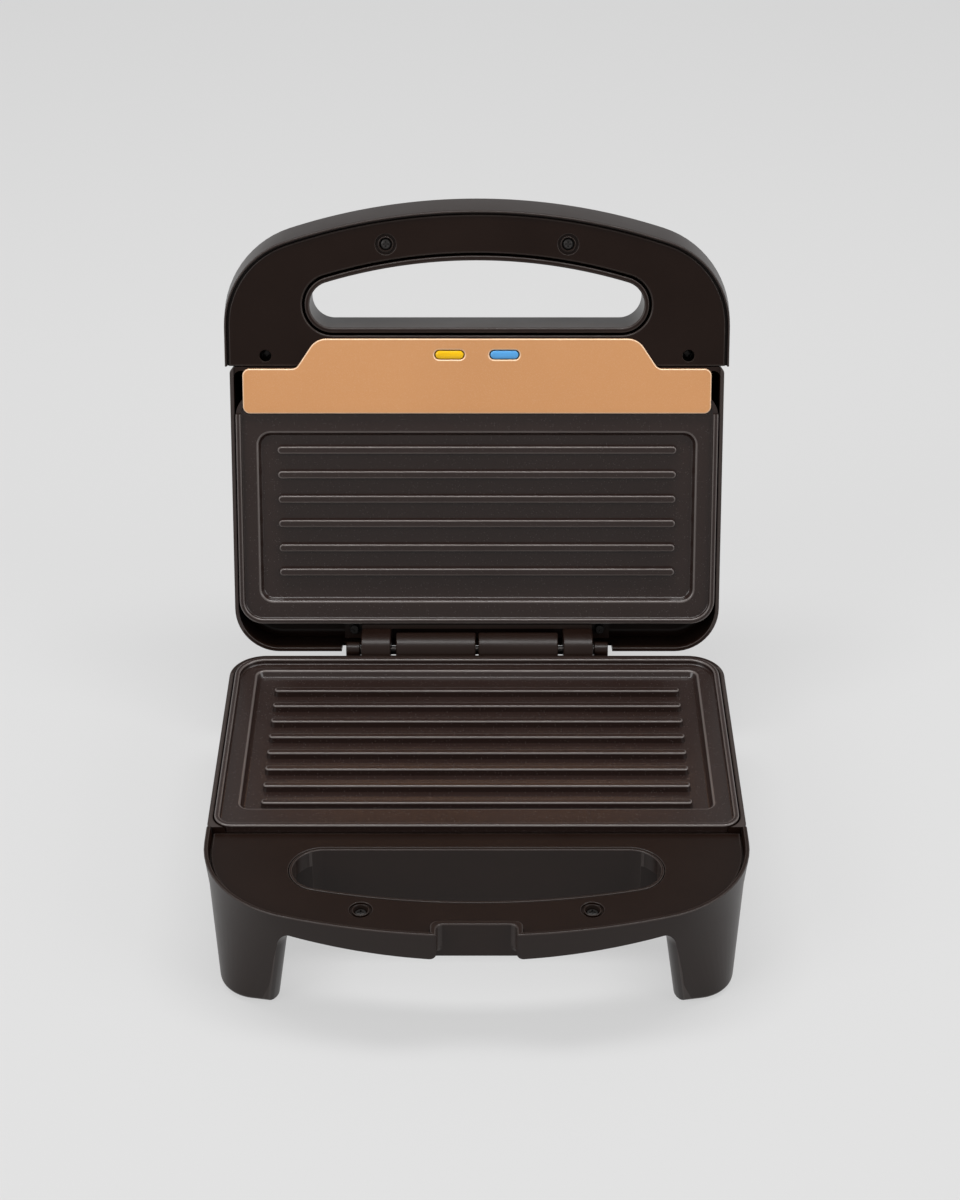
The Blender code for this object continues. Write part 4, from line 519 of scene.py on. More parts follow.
def profiled(place, outline, *corners, by_level=False):
    """Rings of an outline of the inset, or of the inset and the level, along a rounded profile."""
    return stack(place, [(outline(inset, level) if by_level else outline(inset), level)
                         for inset, level in rounded(*corners)])


def prism(place, outline, low, high):
    """An outline extruded between two heights or depths."""
    return stack(place, [(outline, low), (outline, high)])


def bores(place, spots, *steps):
    """Round bodies whose radius changes along the height or depth, one at each spot."""
    return [stack(place, [(circle(spot, radius), level) for radius, level in steps])
            for spot in spots]


def uprights(place, spots, radius, low, high):
    """Round bars along the height or depth, one at each spot."""
    return bores(place, spots, (radius, low), (radius, high))


def bar(place, profile, x_low, x_high, edge=0.0):
    """A profile of reach and height extruded along x, with its ends' edges eased."""
    ends = [(edge, x_low), (0, x_low + edge), (0, x_high - edge), (edge, x_high)]
    if not edge:
        ends = [(0, x_low), (0, x_high)]
    return [[place(x, reach, level)
             for reach, level in (drawn_in(profile, inset) if inset else profile)]
            for inset, x in ends]


def object_from(name, mesh):
    """A bmesh as an object, with its faces pointing out."""
    bmesh.ops.recalc_face_normals(mesh, faces=mesh.faces)
    data = bpy.data.meshes.new(name)
    mesh.to_mesh(data)
    mesh.free()
    piece = bpy.data.objects.new(name, data)
    bpy.context.collection.objects.link(piece)
    return piece


def solid(name, *bodies):
    """A piece from one or more lofted bodies."""
    mesh = bmesh.new()
    for rings in bodies:
        loft_into(mesh, rings)
    return object_from(name, mesh)


# %% Joins, cuts and the finished piece
rounding_low = math.radians(13.5)
rounding_high = math.radians(40)
rounding_width = 0.0015
sharp_angle = math.radians(35)


def carve(piece, operation, *bodies, shape=None):
    """Join or cut lofted bodies, or a ready shape, with an exact Boolean applied at once."""
    shape = shape or solid("carving_shape", *bodies)
    modifier = piece.modifiers.new("carve", "BOOLEAN")
    modifier.operation = operation
    modifier.solver = "EXACT"
    modifier.object = shape
    solved = piece.evaluated_get(bpy.context.evaluated_depsgraph_get())
    rough = piece.data
    piece.data = bpy.data.meshes.new_from_object(solved)
    piece.modifiers.clear()
    mesh = bmesh.new()
    mesh.from_mesh(piece.data)
    bmesh.ops.remove_doubles(mesh, verts=mesh.verts, dist=level_match)
    bmesh.ops.dissolve_degenerate(mesh, edges=mesh.edges, dist=level_match)
    mesh.to_mesh(piece.data)
    mesh.free()
    bpy.data.meshes.remove(rough)
    bpy.data.objects.remove(shape)


def join(piece, *bodies):
    """Join lofted bodies to a piece."""
    carve(piece, "UNION", *bodies)


def cut(piece, *bodies):
    """Take lofted bodies away from a piece."""
    carve(piece, "DIFFERENCE", *bodies)


def mark_rounded_edges(piece):
    """Mark the narrow faces inside a convex rounding, to be painted paler as a highlight, and count
    open edges.
    """
    mesh = bmesh.new()
    mesh.from_mesh(piece.data)
    layer = mesh.faces.layers.float.new("rounded_edge")
    for face in mesh.faces:
        if face.calc_area() < rounding_width * max(edge.calc_length() for edge in face.edges):
            turns = sum(rounding_low < edge.calc_face_angle_signed(0) < rounding_high
                        for edge in face.edges)
            face[layer] = min(turns, 2) / 2
    open_edges = sum(len(edge.link_faces) != 2 for edge in mesh.edges)
    mesh.to_mesh(piece.data)
    mesh.free()
    return open_edges


def dress(piece, slot, body, *nodes):
    """Shade a piece, give it its finish and body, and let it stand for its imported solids."""
    piece.data.materials.clear()
    piece.data.materials.append(finishes[slot])
    if body == "lid":
        piece.data.transform(lid_turn)
    open_edges = mark_rounded_edges(piece)
    piece.data.shade_smooth()
    piece.data.set_sharp_from_angle(angle=sharp_angle)
    piece.modifiers.new("even_shading", "WEIGHTED_NORMAL").keep_sharp = True
    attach(piece, body)
    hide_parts(*nodes)
    print(piece.name, "faces", len(piece.data.polygons), "open edges", open_edges)


# %% [markdown]
# The two cooking plates share one recipe. A profile runs from the underside up the skirt, over the
# raised lip, across the border and down into the recess. The ribs rise from its floor as long pills
# with rounded tops, and the lip's two edges give the pair of light lines round each plate. The ribs
# are joined to the finished plate, which keeps its profile simple.

# %% Cooking plates
skirt_inset = 0.0026
flange_depth = 0.0038
lip_width = 0.0023
lip_height = 0.0024
recess_depth = 0.005
recess_side_border = 0.0097
recess_least_corner = 0.0008
plate_underside = 0.008
shield_depth = 0.0151
plate_bosses = both(0.050, 0.050)
boss_radius = 0.004
boss_root = 0.0065
screw_hole = 0.0017
rib_root = 0.0003
rib_top = 0.002
rib_foot_width = 0.0042
rib_half_length = 0.0917


def cooking_plate(name, place, length, corners, borders, recess_corner, ribs):
    """A ribbed plate with two bosses for its screws."""

    def outline(inset):
        return rounded_rectangle(plate_half - inset, inset, length - inset,
                                 corners[0] - inset, corners[1] - inset)

    def recess(inset):
        corner = max(recess_corner - inset, recess_least_corner)
        return rounded_rectangle(plate_half - recess_side_border - inset, borders[0] + inset,
                                 length - borders[1] - inset, corner, corner)

    rings = profiled(place, outline, (skirt_inset, plate_underside), (skirt_inset, flange_depth),
                     (0, flange_depth, 0.0003), (0, 0, 0.0007), (lip_width, 0, 0.0007),
                     (lip_width, lip_height, 0.0006), (lip_width + 0.002, lip_height))
    rings += profiled(place, recess, (-0.002, lip_height), (0, lip_height, 0.0012),
                      (0.0015, recess_depth, 0.001), (0.0035, recess_depth))
    piece = solid(name, rings)
    first_rib, rib_pitch, rib_count = ribs
    join(piece, *[profiled(
        place, lambda inset: pill((0, first_rib + index * rib_pitch), 2 * (rib_half_length - inset),
                                  rib_foot_width - 2 * inset),
        (0, recess_depth + rib_root), (0.0005, rib_top, 0.0007), (0.002, rib_top))
        for index in range(rib_count)])
    join(piece, *uprights(place, plate_bosses, boss_radius, boss_root, shield_depth - seat_gap))
    cut(piece, *uprights(place, plate_bosses, screw_hole, plate_underside, shield_depth + overrun))
    return piece


panel_seat_depth = 0.0019
panel_seat_rear = 0.0982
lower_plate = cooking_plate("lower_plate_fine", below_rim, length=0.125, corners=(0.0135, 0.008),
                            borders=(0.0077, 0.0147), recess_corner=0.004, ribs=(0.0228, 0.0118, 8))
dress(lower_plate, "plate_coating", "base", "lower_plate")
upper_plate = cooking_plate("upper_plate_fine", in_lid, length=0.108, corners=(0.011, 0.011),
                            borders=(0.0101, 0.0185), recess_corner=0.006,
                            ribs=(0.0241, 0.01144, 6))
cut(upper_plate, prism(in_lid, rectangle(-beyond, beyond, panel_seat_rear, 0.12),
                       -overrun, panel_seat_depth))
dress(upper_plate, "plate_coating", "lid", "upper_plate")

# %% [markdown]
# The lid's casing is a shallow tray. Its rim shows as a dark strip round the plate, and its back is
# what is seen when the lid is shut, so its long edges are rounded well. A Solidify modifier could
# give it its wall, but a second body cut out of the first leaves the rim and the inner floor their
# own roundings.

# %% Lid casing
lid_half = 0.1123
lid_front = 0.1197
lid_wall = 0.0018
lid_rim_depth = 0.001
lid_outer = 0.027
lid_floor = lid_outer - lid_wall
lid_root = lid_floor + lid_wall / 2
lid_edge = 0.005
lid_rim_bevel = 0.0004
lid_corners = both(0.096, 0.1247)
corner_tab_half = 0.006
corner_tab_front = 0.1315
corner_tab_depths = (0.012, 0.0145)
plate_posts = both(0.070, 0.060)
bracket_screws = both(0.0575, -0.00525)


def lid_outline(inset, front=lid_front):
    """The tray's outline; its flat front meets the lid handle."""
    return rounded_rectangle(lid_half - inset, inset - 0.0135, front, 0.0205 - inset, 0.003)


lid_shell = solid("lid_shell_fine", profiled(
    in_lid, lid_outline, (0.001, lid_rim_depth), (0, lid_rim_depth, 0.0005),
    (0, lid_outer, lid_edge), (0.010, lid_outer)))
cut(lid_shell, profiled(
    in_lid, lambda inset: lid_outline(inset, lid_front - lid_wall),
    (lid_wall - lid_rim_bevel, lid_rim_depth - overrun), (lid_wall - lid_rim_bevel, lid_rim_depth),
    (lid_wall, lid_rim_depth, lid_rim_bevel), (lid_wall, lid_floor, lid_edge - lid_wall),
    (0.012, lid_floor)))
join(lid_shell, *uprights(in_lid, plate_posts, boss_radius, lid_root, 0.016),
     *uprights(in_lid, bracket_screws, boss_radius, lid_root, 0.0153),
     *[prism(in_lid, rectangle(x - corner_tab_half, x + corner_tab_half, lid_front - lid_wall / 2,
                               corner_tab_front), *corner_tab_depths) for x, _ in lid_corners])
cut(lid_shell,
    prism(in_lid, rectangle(lid_wall - lid_half, lid_half - lid_wall, 0.1159, 0.1217),
          -overrun, panel_seat_depth),
    prism(in_lid, rectangle(-0.063, 0.063, -0.0155, -0.0097), -overrun, 0.0123),
    *uprights(in_lid, bracket_screws, screw_hole, 0.013, 0.0185),
    *uprights(in_lid, lid_corners, screw_hole, 0.010, 0.0165))
dress(lid_shell, "casing_plastic", "lid", "lid_shell")

# %% [markdown]
# The lid's handle is an arch that is larger at its back. A parting line runs round it just behind
# the rim, and a narrow rebate inside the rim takes the cover. An extrusion couldn't grow like that,
# so the rings between rim and back are blends of two outlines.

# %% Lid handle
lid_shape = (0.1143, 0.040, 0.190, 0.277)
lid_back_shape = (0.1162, 0.0442, 0.1939, 0.281)
lid_opening = (0.0756, 0.1374, 0.1677, 0.0104)
lid_back_opening = (0.0758, 0.1394, 0.1687, 0.0104)
lid_opening_ease = 0.0008
handle_rear = lid_front + seat_gap
handle_rim = 0.0006
handle_back_depth = lid_outer - lid_edge
handle_wall = 0.0022
rebate_inset = 0.0008
parting_depth = 0.0018
parting_half_width = 0.0002
cover_face = 0.0019
cover_back = 0.0039
ring_boss = 0.0042
corner_boss = 0.0036
lid_rings = both(0.041, 0.175)


def handle_outline(inset, depth, rear=handle_rear):
    """The handle's outline, which grows from its rim to its back."""
    share = min(max((depth - handle_rim) / (handle_back_depth - handle_rim), 0), 1)
    return blended(bow(lid_shape, inset, rear), bow(lid_back_shape, inset, rear), share)


def through_hole(place, near_shape, far_shape, near, far, ease):
    """A cutter that changes from one opening to another, with flared mouths for rounded edges."""
    way = math.copysign(1, far - near)

    def opening(outset, level):
        return blended(hand_opening(near_shape, outset), hand_opening(far_shape, outset),
                       (level - near) / (far - near))

    return profiled(place, opening, (ease, near - way * overrun), (ease, near), (0, near, ease),
                    (0, far, ease), (ease, far), (ease, far + way * overrun), by_level=True)


lid_handle = solid("lid_handle_shell_fine", profiled(
    in_lid, handle_outline, (0.001, handle_rim), (0, handle_rim, 0.0004),
    (0, parting_depth - parting_half_width), (2 * parting_half_width, parting_depth),
    (0, parting_depth + parting_half_width), (0, lid_outer, lid_edge), (0.012, lid_outer),
    by_level=True))
cut(lid_handle, profiled(
    in_lid, lambda inset, depth: handle_outline(inset, depth, handle_rear + handle_wall),
    (handle_wall, cover_face), (handle_wall, lid_floor, lid_edge - handle_wall),
    (0.012, lid_floor), by_level=True))
cut(lid_handle, profiled(
    in_lid, lambda inset: bow(lid_shape, inset, handle_rear - overrun),
    (0.0005, -overrun), (0.0005, handle_rim), (rebate_inset, handle_rim, 0.0003),
    (rebate_inset, cover_back + seat_gap)))
cut(lid_handle, prism(in_lid, rectangle(-0.1121, 0.1121, handle_rear - overrun, 0.1242),
                      -overrun, 0.0152))
join(lid_handle, profiled(
    in_lid, lambda inset: hand_opening(lid_opening, handle_wall - inset),
    (0, lid_root), (0, cover_face, 0.0006), (0.001, cover_face)))
join(lid_handle, *uprights(in_lid, lid_rings, ring_boss, lid_root, 0.0073),
     *uprights(in_lid, lid_corners, corner_boss, lid_root, 0.0148))
cut(lid_handle,
    through_hole(in_lid, lid_opening, lid_back_opening, cover_face, lid_outer, lid_opening_ease),
    *uprights(in_lid, lid_rings, screw_hole, 0.007, 0.0162),
    *uprights(in_lid, lid_corners, screw_hole, 0.0145, 0.020))
dress(lid_handle, "casing_plastic", "lid", "lid_handle_shell")

# %% [markdown]
# The covers inside the two handles are thin sheets with an eased edge. Each has the hand opening,
# and two screw wells: a sunk ring round a short tube, with the screw deep inside it. A bump could
# hint at the wells, but they are deep enough to hold shadow, so they are cut.

# %% Lid cover
cover_ease = 0.0007
well_radius = 0.00285
ring_tube_radius = 0.0035
groove_radius = 0.0047
groove_depth = 0.0011
ring_ease = 0.0003
tube_drop = 0.0001
lens_places = both(0.01245, 0.1254)
lens_slot = (0.0133, 0.0042)
corner_hole_radius = 0.003


def screw_wells(piece, place, spots, top, seat, boss_end):
    """Sink a ring into the cover, leave a tube in its middle and bore the tube for the screw."""
    way = math.copysign(1, boss_end - top)
    floor = top + way * groove_depth
    tube_top = top + way * tube_drop
    join(piece, *uprights(place, spots, ring_boss, top + way * 0.001, boss_end))
    cut(piece, *[profiled(
        place, lambda outset: circle(spot, groove_radius + outset),
        (ring_ease, top - way * overrun), (ring_ease, top), (0, top, ring_ease),
        (0, floor, ring_ease), (-0.002, floor)) for spot in spots])
    join(piece, *[profiled(
        place, lambda inset: circle(spot, ring_tube_radius - inset),
        (0, floor + way * 0.0004), (0, tube_top, ring_ease), (0.001, tube_top)) for spot in spots])
    cut(piece, *bores(
        place, spots, (well_radius + 0.0002, top - way * overrun), (well_radius + 0.0002, tube_top),
        (well_radius, top + way * 0.0004), (well_radius, seat), (screw_hole, seat),
        (screw_hole, boss_end + way * overrun)))


def handle_cover(name, place, shape, inset, rear, opening, outset, ease, top, bottom):
    """A thin cover with an eased edge, and in it a hand opening with an eased mouth."""
    way = math.copysign(1, bottom - top)
    cover = solid(name, profiled(place, lambda more: bow(shape, inset + more, rear + more),
                                 (0, bottom), (0, top, cover_ease), (0.002, top)))
    cut(cover, profiled(place, lambda more: hand_opening(opening, outset + more),
                        (ease, top - way * overrun), (ease, top), (0, top, ease),
                        (0, bottom + way * overrun)))
    return cover


lid_cover = handle_cover("lid_handle_cover_fine", in_lid, lid_shape, inset=0.0018, rear=handle_rear,
                         opening=lid_opening, outset=0.0034, ease=0.0008, top=cover_face,
                         bottom=cover_back)
screw_wells(lid_cover, in_lid, lid_rings, cover_face, 0.0052, 0.007)
cut(lid_cover, *[prism(in_lid, pill(spot, *lens_slot), -overrun, cover_back + overrun)
                 for spot in lens_places],
    *bores(in_lid, lid_corners, (corner_hole_radius, -overrun), (corner_hole_radius, cover_face),
           (corner_hole_radius - 0.0003, cover_face + 0.0004),
           (corner_hole_radius - 0.0003, cover_back + overrun)))
dress(lid_cover, "cover_plastic", "lid", "lid_handle_cover")

# %% [markdown]
# The copper-coloured panel lies on the border of the upper plate and on the cover. Its outline
# steps up to the raised middle in an S on each side, and its edge is eased all round. Each S is two
# arcs with one common slope, which stays smooth at any size; a curve drawn by hand would need its
# handles set by eye.

# %% Copper-coloured panel
panel_face = 0.0002
panel_back = 0.0016
panel_corner_x = 0.1033
panel_corner_reaches = (0.1017, 0.1158)
panel_corner_radius = 0.0032
panel_slot = (0.0137, 0.0043)
panel_slot_bevel = 0.0007


def panel_outline():
    """Half of the outline from the rear corner to the raised middle, then its mirror image."""
    hollow, hollow_radius = (0.0841, 0.1227), 0.0037
    crest, crest_radius = (0.0681, 0.1237), 0.009
    run = hollow[0] - crest[0]
    rise = crest[1] - hollow[1]
    slope_deg = math.degrees(math.asin((hollow_radius + crest_radius) / math.hypot(run, rise))
                             + math.atan2(rise, run))
    rear, front = panel_corner_reaches
    half = arc((panel_corner_x, rear), panel_corner_radius, -90, 0)
    half += arc((panel_corner_x, front), panel_corner_radius, 0, 90)
    half += arc(hollow, hollow_radius, -90, -90 - slope_deg)
    half += arc(crest, crest_radius, 90 - slope_deg, 90)
    return half + [(-x, reach) for x, reach in reversed(half)]


panel_edge = panel_outline()
copper_panel = solid("copper_panel_fine", profiled(
    in_lid, lambda inset: drawn_in(panel_edge, inset),
    (0, panel_back), (0, panel_face, 0.0006), (0.0012, panel_face)))
cut(copper_panel, *[profiled(
    in_lid, lambda outset: pill(spot, panel_slot[0] + 2 * outset, panel_slot[1] + 2 * outset),
    (panel_slot_bevel, -overrun), (panel_slot_bevel, panel_face), (0, panel_face, panel_slot_bevel),
    (0, panel_back + overrun)) for spot in lens_places])
dress(copper_panel, "copper_paint", "lid", "copper_panel")

# %% [markdown]
# Each indicator lens is a small pill of clear coloured plastic with a crowned face, held by a
# flange behind the cover. A flattened sphere wouldn't fill a slot with straight sides, so the pill
# is lofted as the rest is.

# %% Indicator lenses
lens_size = (0.0127, 0.0036)
lens_flange = 0.0011
flange_top = 0.0042
flange_bottom = 0.0054
lens_face = 0.0001
for color, spot in zip(("yellow", "blue"), lens_places):
    lens = solid(color + "_lens_fine", profiled(
        in_lid, lambda inset: pill(spot, lens_size[0] - 2 * inset, lens_size[1] - 2 * inset),
        (-lens_flange, flange_bottom), (-lens_flange, flange_top), (0, flange_top),
        (0, 0.0004, 0.0004), (0.0011, lens_face, 0.0008), (0.0016, lens_face)))
    dress(lens, color + "_lens_plastic", "lid", color + "_lens")

# %% [markdown]
# Screws are spun from half a profile, and a cross recess is cut into each head. The thread is
# hidden in the plastic, so the shank is left plain.

# %% Visible screws
head_height = 0.0018
shank_radius = 0.0014
tip_radius = 0.0005
cross_half_width = 0.0004
cross_depth = 0.0009


def screw(node, body, seat, direction, length, head_radius):
    """A pan-head screw on its seat, spun round its axis, with a cross recess."""
    profile = [(0, -head_height)] + [(radius, -level) for radius, level in rounded(
        (head_radius * 0.4, head_height), (head_radius, head_height * 0.8, head_height * 0.3),
        (head_radius, 0))]
    profile += [(shank_radius, 0), (shank_radius, length - shank_radius), (tip_radius, length),
                (0, length)]
    mesh = bmesh.new()
    corners = [mesh.verts.new((radius, 0, height)) for radius, height in profile]
    edges = [mesh.edges.new(pair) for pair in zip(corners, corners[1:])]
    bmesh.ops.spin(mesh, geom=corners + edges, cent=(0, 0, 0), axis=(0, 0, 1), dvec=(0, 0, 0),
                   angle=math.tau, steps=circle_steps, use_merge=True)
    bmesh.ops.remove_doubles(mesh, verts=mesh.verts, dist=merge_distance)
    turn = Matrix.Translation(seat) @ direction.to_track_quat("Z", "Y").to_matrix().to_4x4()
    bmesh.ops.transform(mesh, matrix=turn, verts=mesh.verts)
    piece = object_from(node + "_fine", mesh)
    cross_half = head_radius * 0.58
    for across, along in ((cross_half, cross_half_width), (cross_half_width, cross_half)):
        groove = rectangle(-across, across, -along, along)
        cut(piece, [[turn @ Vector((x, y, level)) for x, y in groove]
                    for level in (-head_height - overrun, -head_height + cross_depth)])
    dress(piece, "dark_steel", body, node)


into_lid = Vector((0, 0, 1))
into_base = Vector((0, 0, -1))
ring_screw_head = 0.0024
corner_screw_head = 0.0023
base_rings = both(0.0464, 0.175)
for side, name in enumerate(("left", "right")):
    screw("lid_handle_screw_" + name, "lid", in_lid(*lid_rings[side], 0.0049), into_lid,
          0.011, ring_screw_head)
    screw("lid_corner_screw_" + name, "lid", in_lid(*lid_corners[side], 0.0117), into_lid,
          0.008, corner_screw_head)
    screw("base_handle_screw_" + name, "base", on_base(*base_rings[side], sunk(0.0065)),
          into_base, 0.005, ring_screw_head)

# %% [markdown]
# The base's casing is a tub on two rear legs. From the front only its rim shows, beside and behind
# the plate, and from behind it shows whole. It is made as the lid's tray is, and its legs are
# joined before the inside is cut, so tub and legs are one piece.

# %% Base casing
base_half = 0.1125
base_front = 0.125
base_wall = 0.002
base_edge = 0.004
wall_top = sunk(0.0008)
underside = 0.024
floor_top = underside + base_wall
base_root = underside + base_wall / 2
plate_side_gap = 0.0005
leg_x = 0.078
foot_clearance = 0.001
pad_hole_radius = 0.0053
bottom_posts = both(0.05, 0.050)
bottom_well = 0.0033
handle_posts = both(0.1, 0.0155)


def base_outline(inset, front=base_front, front_corner=0.003):
    """The tub's outline; its flat front meets the handle."""
    return rounded_rectangle(base_half - inset, inset - 0.0026, front, 0.016 - inset, front_corner)


def leg_outline(x, inset, back=0):
    """A rear leg's outline, with its back drawn in."""
    outline = rounded_rectangle(0.014 - inset, back + inset - 0.0145, 0.007 - inset, 0.002, 0.002)
    return [(x + across, reach) for across, reach in outline]


base_shell = solid("base_shell_fine", profiled(
    on_base, base_outline, (0.001, wall_top), (0, wall_top, 0.0006), (0, underside, base_edge),
    (0.009, underside)))
leg_levels = ((0.003, 0, foot_clearance), (0.002, 0, foot_clearance + 0.001), (0, 0, underside),
              (0, 0, 0.0355), (0, 0.0005, 0.0365), (0, 0.0045, 0.040))
for x in (-leg_x, leg_x):
    join(base_shell, stack(on_base, [(leg_outline(x, inset, back), level)
                                     for inset, back, level in leg_levels]))
cut(base_shell, profiled(
    on_base, lambda inset: base_outline(inset, base_front - base_wall, 0.0085),
    (base_wall, wall_top + overrun), (base_wall, floor_top, base_edge - base_wall),
    (0.010, floor_top)))
plate_opening = rounded_rectangle(plate_half + plate_side_gap, 0, base_front + plate_side_gap,
                                  0.0135, 0.0085)
cut(base_shell, profiled(
    on_base, lambda outset: drawn_in(plate_opening, -outset), (0.0005, rim_height + overrun),
    (0.0005, wall_top), (0, wall_top, 0.0005), (0, sunk(0.0041))))
join(base_shell, *uprights(on_base, bottom_posts, ring_boss, base_root, sunk(0.016)),
     *uprights(on_base, handle_posts, corner_boss, base_root, 0.036))
cut(base_shell, *[stack(on_base, [
    (leg_outline(x, 0.0046), foot_clearance + 0.003),
    (leg_outline(x, 0.0026), floor_top + overrun)]) for x in (-leg_x, leg_x)])
cut(base_shell,
    prism(on_base, rectangle(-0.080, 0.080, 0.0104, 0.0404),
          underside - overrun, floor_top + overrun),
    bar(on_base, rectangle(-0.0046, 0.0014, 0.0309, 0.0379), -0.04, 0.04),
    *bores(on_base, bottom_posts, (bottom_well, underside - overrun),
           (bottom_well, floor_top), (screw_hole, floor_top), (screw_hole, 0.042)),
    *uprights(on_base, handle_posts, screw_hole, underside - overrun, 0.031),
    *uprights(on_base, both(leg_x, -0.00375), pad_hole_radius, -overrun, foot_clearance + 0.0018))
dress(base_shell, "casing_plastic", "base", "base_shell")

# %% [markdown]
# The lower handle is one wall that bows round the front, leans in above a soft bend and draws in
# towards its feet. Between the legs an opening leaves the apron. Its rings are blends of an upper
# and a lower bow, since an extrusion couldn't taper and bend.

# %% Lower handle
base_shape = (0.1126, 0.0497, 0.19475, 0.2632)
foot_shape = (0.10684, 0.0164, 0.1791, 0.532)
bow_rear = 0.1253
bow_front = 0.1948
base_rim = sunk(0.0003)
bend_depth = 0.015
bend_level = sunk(bend_depth)
bend_lean = 0.0015
cover_top = sunk(0.0035)
cover_under = sunk(0.0055)
cavity_floor = sunk(0.009)
slab_bottom = cavity_floor - handle_wall
block_front = 0.138
leg_inner_top = 0.0765
leg_inner_bottom = 0.082
leg_wall = 0.0026
leg_rounding = 0.0075
leg_rounding_steps = 6
apron_drop = 0.0144
apron_radius = 0.718
apron_fillet = 0.007
apron_steps = 8
base_opening = (0.0754, 0.1369, 0.1694, 0.0124)


def base_bow(inset, level, rear=bow_rear):
    """The handle's outline at a height."""
    if level >= bend_level:
        return bow(base_shape, bend_lean * (rim_height - level) / bend_depth + inset, rear)
    share = (bend_level - level) / (bend_level - foot_clearance)
    return blended(bow(base_shape, bend_lean + inset, rear), bow(foot_shape, inset, rear), share)


def apron_height(x):
    """The apron's lower edge, a shallow arc."""
    return sunk(apron_drop) + apron_radius - math.sqrt(apron_radius ** 2 - x ** 2)


def between_legs(spread=0):
    """The opening below the apron and between the legs, as a profile of x and height."""
    meet_x = leg_inner_top + spread - apron_fillet
    right = [(leg_inner_bottom + spread, -overrun)]
    right += arc((meet_x, apron_height(meet_x) - apron_fillet), apron_fillet, 0, 90)
    shares = [1 - step / apron_steps for step in range(1, 2 * apron_steps)]
    middle = [(meet_x * share, apron_height(meet_x * share)) for share in shares]
    return right + middle + [(-x, level) for x, level in reversed(right)]


def leg_front(level):
    """Where the leg's inner side reaches the front wall, at a height."""
    share = (bend_level - level) / (bend_level - foot_clearance)
    low = foot_shape[2] - foot_shape[3] + math.sqrt(foot_shape[3] ** 2 - leg_inner_bottom ** 2)
    high = base_shape[2] - base_shape[3] + math.sqrt(base_shape[3] ** 2 - leg_inner_top ** 2)
    return high - bend_lean + (low - high + bend_lean) * share


def leg_opening():
    """The space between the legs, which widens round their inner front edges."""
    rings = [[on_base(x, block_front, level) for x, level in between_legs()]]
    for step in range(leg_rounding_steps + 1):
        angle = math.pi / 2 * step / leg_rounding_steps
        profile = between_legs(leg_rounding * (1 - math.cos(angle)))
        rings.append([on_base(x, leg_front(level) + leg_rounding * (math.sin(angle) - 1), level)
                      for x, level in profile])
    rings.append([on_base(x, bow_front + overrun, level) for x, level in profile])
    return rings


def inner_body(low, high):
    """The space inside the handle's wall between two heights."""
    levels = [low, bend_level, high] if low < bend_level < high else [low, high]
    return stack(on_base, [(base_bow(handle_wall, level, bow_rear + handle_wall), level)
                           for level in levels])


base_handle = solid("base_handle_shell_fine", profiled(
    on_base, base_bow, (0.004, foot_clearance), (0, foot_clearance, 0.002), (0, bend_level),
    (0, base_rim, 0.0006), (0.002, base_rim), by_level=True))
cut(base_handle, profiled(
    on_base, lambda inset, level: base_bow(inset, level, bow_rear - overrun),
    (0.0013, base_rim + overrun), (0.0013, base_rim), (0.0017, base_rim, 0.0004),
    (0.0017, cover_under - seat_gap), by_level=True))
cut(base_handle, inner_body(cavity_floor, cover_under))
cut(base_handle, leg_opening())
hollow = solid("hollow", inner_body(-overrun, slab_bottom))
hollow_box = rectangle(-0.0745, 0.0745, block_front - merge_distance, bow_front + overrun)
carve(hollow, "INTERSECT", prism(on_base, hollow_box, -0.05, 0.05))
carve(base_handle, "DIFFERENCE", shape=hollow)
pockets = solid("pockets", inner_body(0.004, 0.0405))
carve(pockets, "INTERSECT", *[stack(on_base, [
    (rectangle(*sorted((way * (inner + leg_wall), way * beyond)), block_front,
               bow_front + overrun), level)
    for inner, level in ((leg_inner_bottom, 0), (leg_inner_top, rim_height))]) for way in (-1, 1)])
carve(base_handle, "DIFFERENCE", shape=pockets)
cut(base_handle, prism(on_base, rectangle(-beyond, beyond, bow_rear - overrun, 0.140),
                       -overrun, underside))
cut(base_handle, prism(on_base, rectangle(-0.050, 0.050, 0.1275, 0.1336),
                       underside - overrun, slab_bottom))
print("lower handle faces", len(base_handle.data.polygons))

# %% [markdown]
# Two details join the handle: the sleeve that lines the hand opening, and the small recess in the
# middle of the front edge, which has a wall of its own. The recess also cuts the apron, with round
# corners at its mouth. The handle is hollow there, so both are joined as blocks before they are
# cut, which leaves each its wall.

# %% Sleeve, recess and screw posts of the lower handle
notch_half = 0.016
notch_back = 0.1877
notch_wall = 0.0024
notch_corner = 0.003
notch_bottom = sunk(0.0166)
rim_ease = 0.0006
post_root = cavity_floor - 0.0011
pad_reach = 0.158
cover_screws = both(0.067, 0.1282)
join(base_handle, profiled(
    on_base, lambda inset: hand_opening(base_opening, 0.0013 - inset),
    (0, post_root), (0, cover_top, 0.0004), (0.0008, cover_top)))
block_fall = base_shape[3] - math.sqrt(base_shape[3] ** 2 - (notch_half + notch_wall) ** 2)
join(base_handle, profiled(
    on_base, lambda inset, level: rounded_rectangle(
        notch_half + notch_wall - inset, notch_back - notch_wall + inset,
        bow_front - bend_lean * (rim_height - level) / bend_depth - block_fall - handle_wall / 2,
        notch_corner, 0.0012),
    (0, notch_bottom), (0, base_rim, rim_ease), (0.001, base_rim), by_level=True))
join(base_handle, *uprights(on_base, base_rings, ring_boss, 0.0407, post_root))
cut(base_handle, through_hole(on_base, base_opening, base_opening, cover_top,
                              underside - overrun, 0.0005))
notch_apron = apron_height(notch_half)
cut(base_handle, prism(on_base, rectangle(-0.025, 0.025, notch_back + 0.0002,
                                          bow_front + overrun), -overrun, notch_apron))
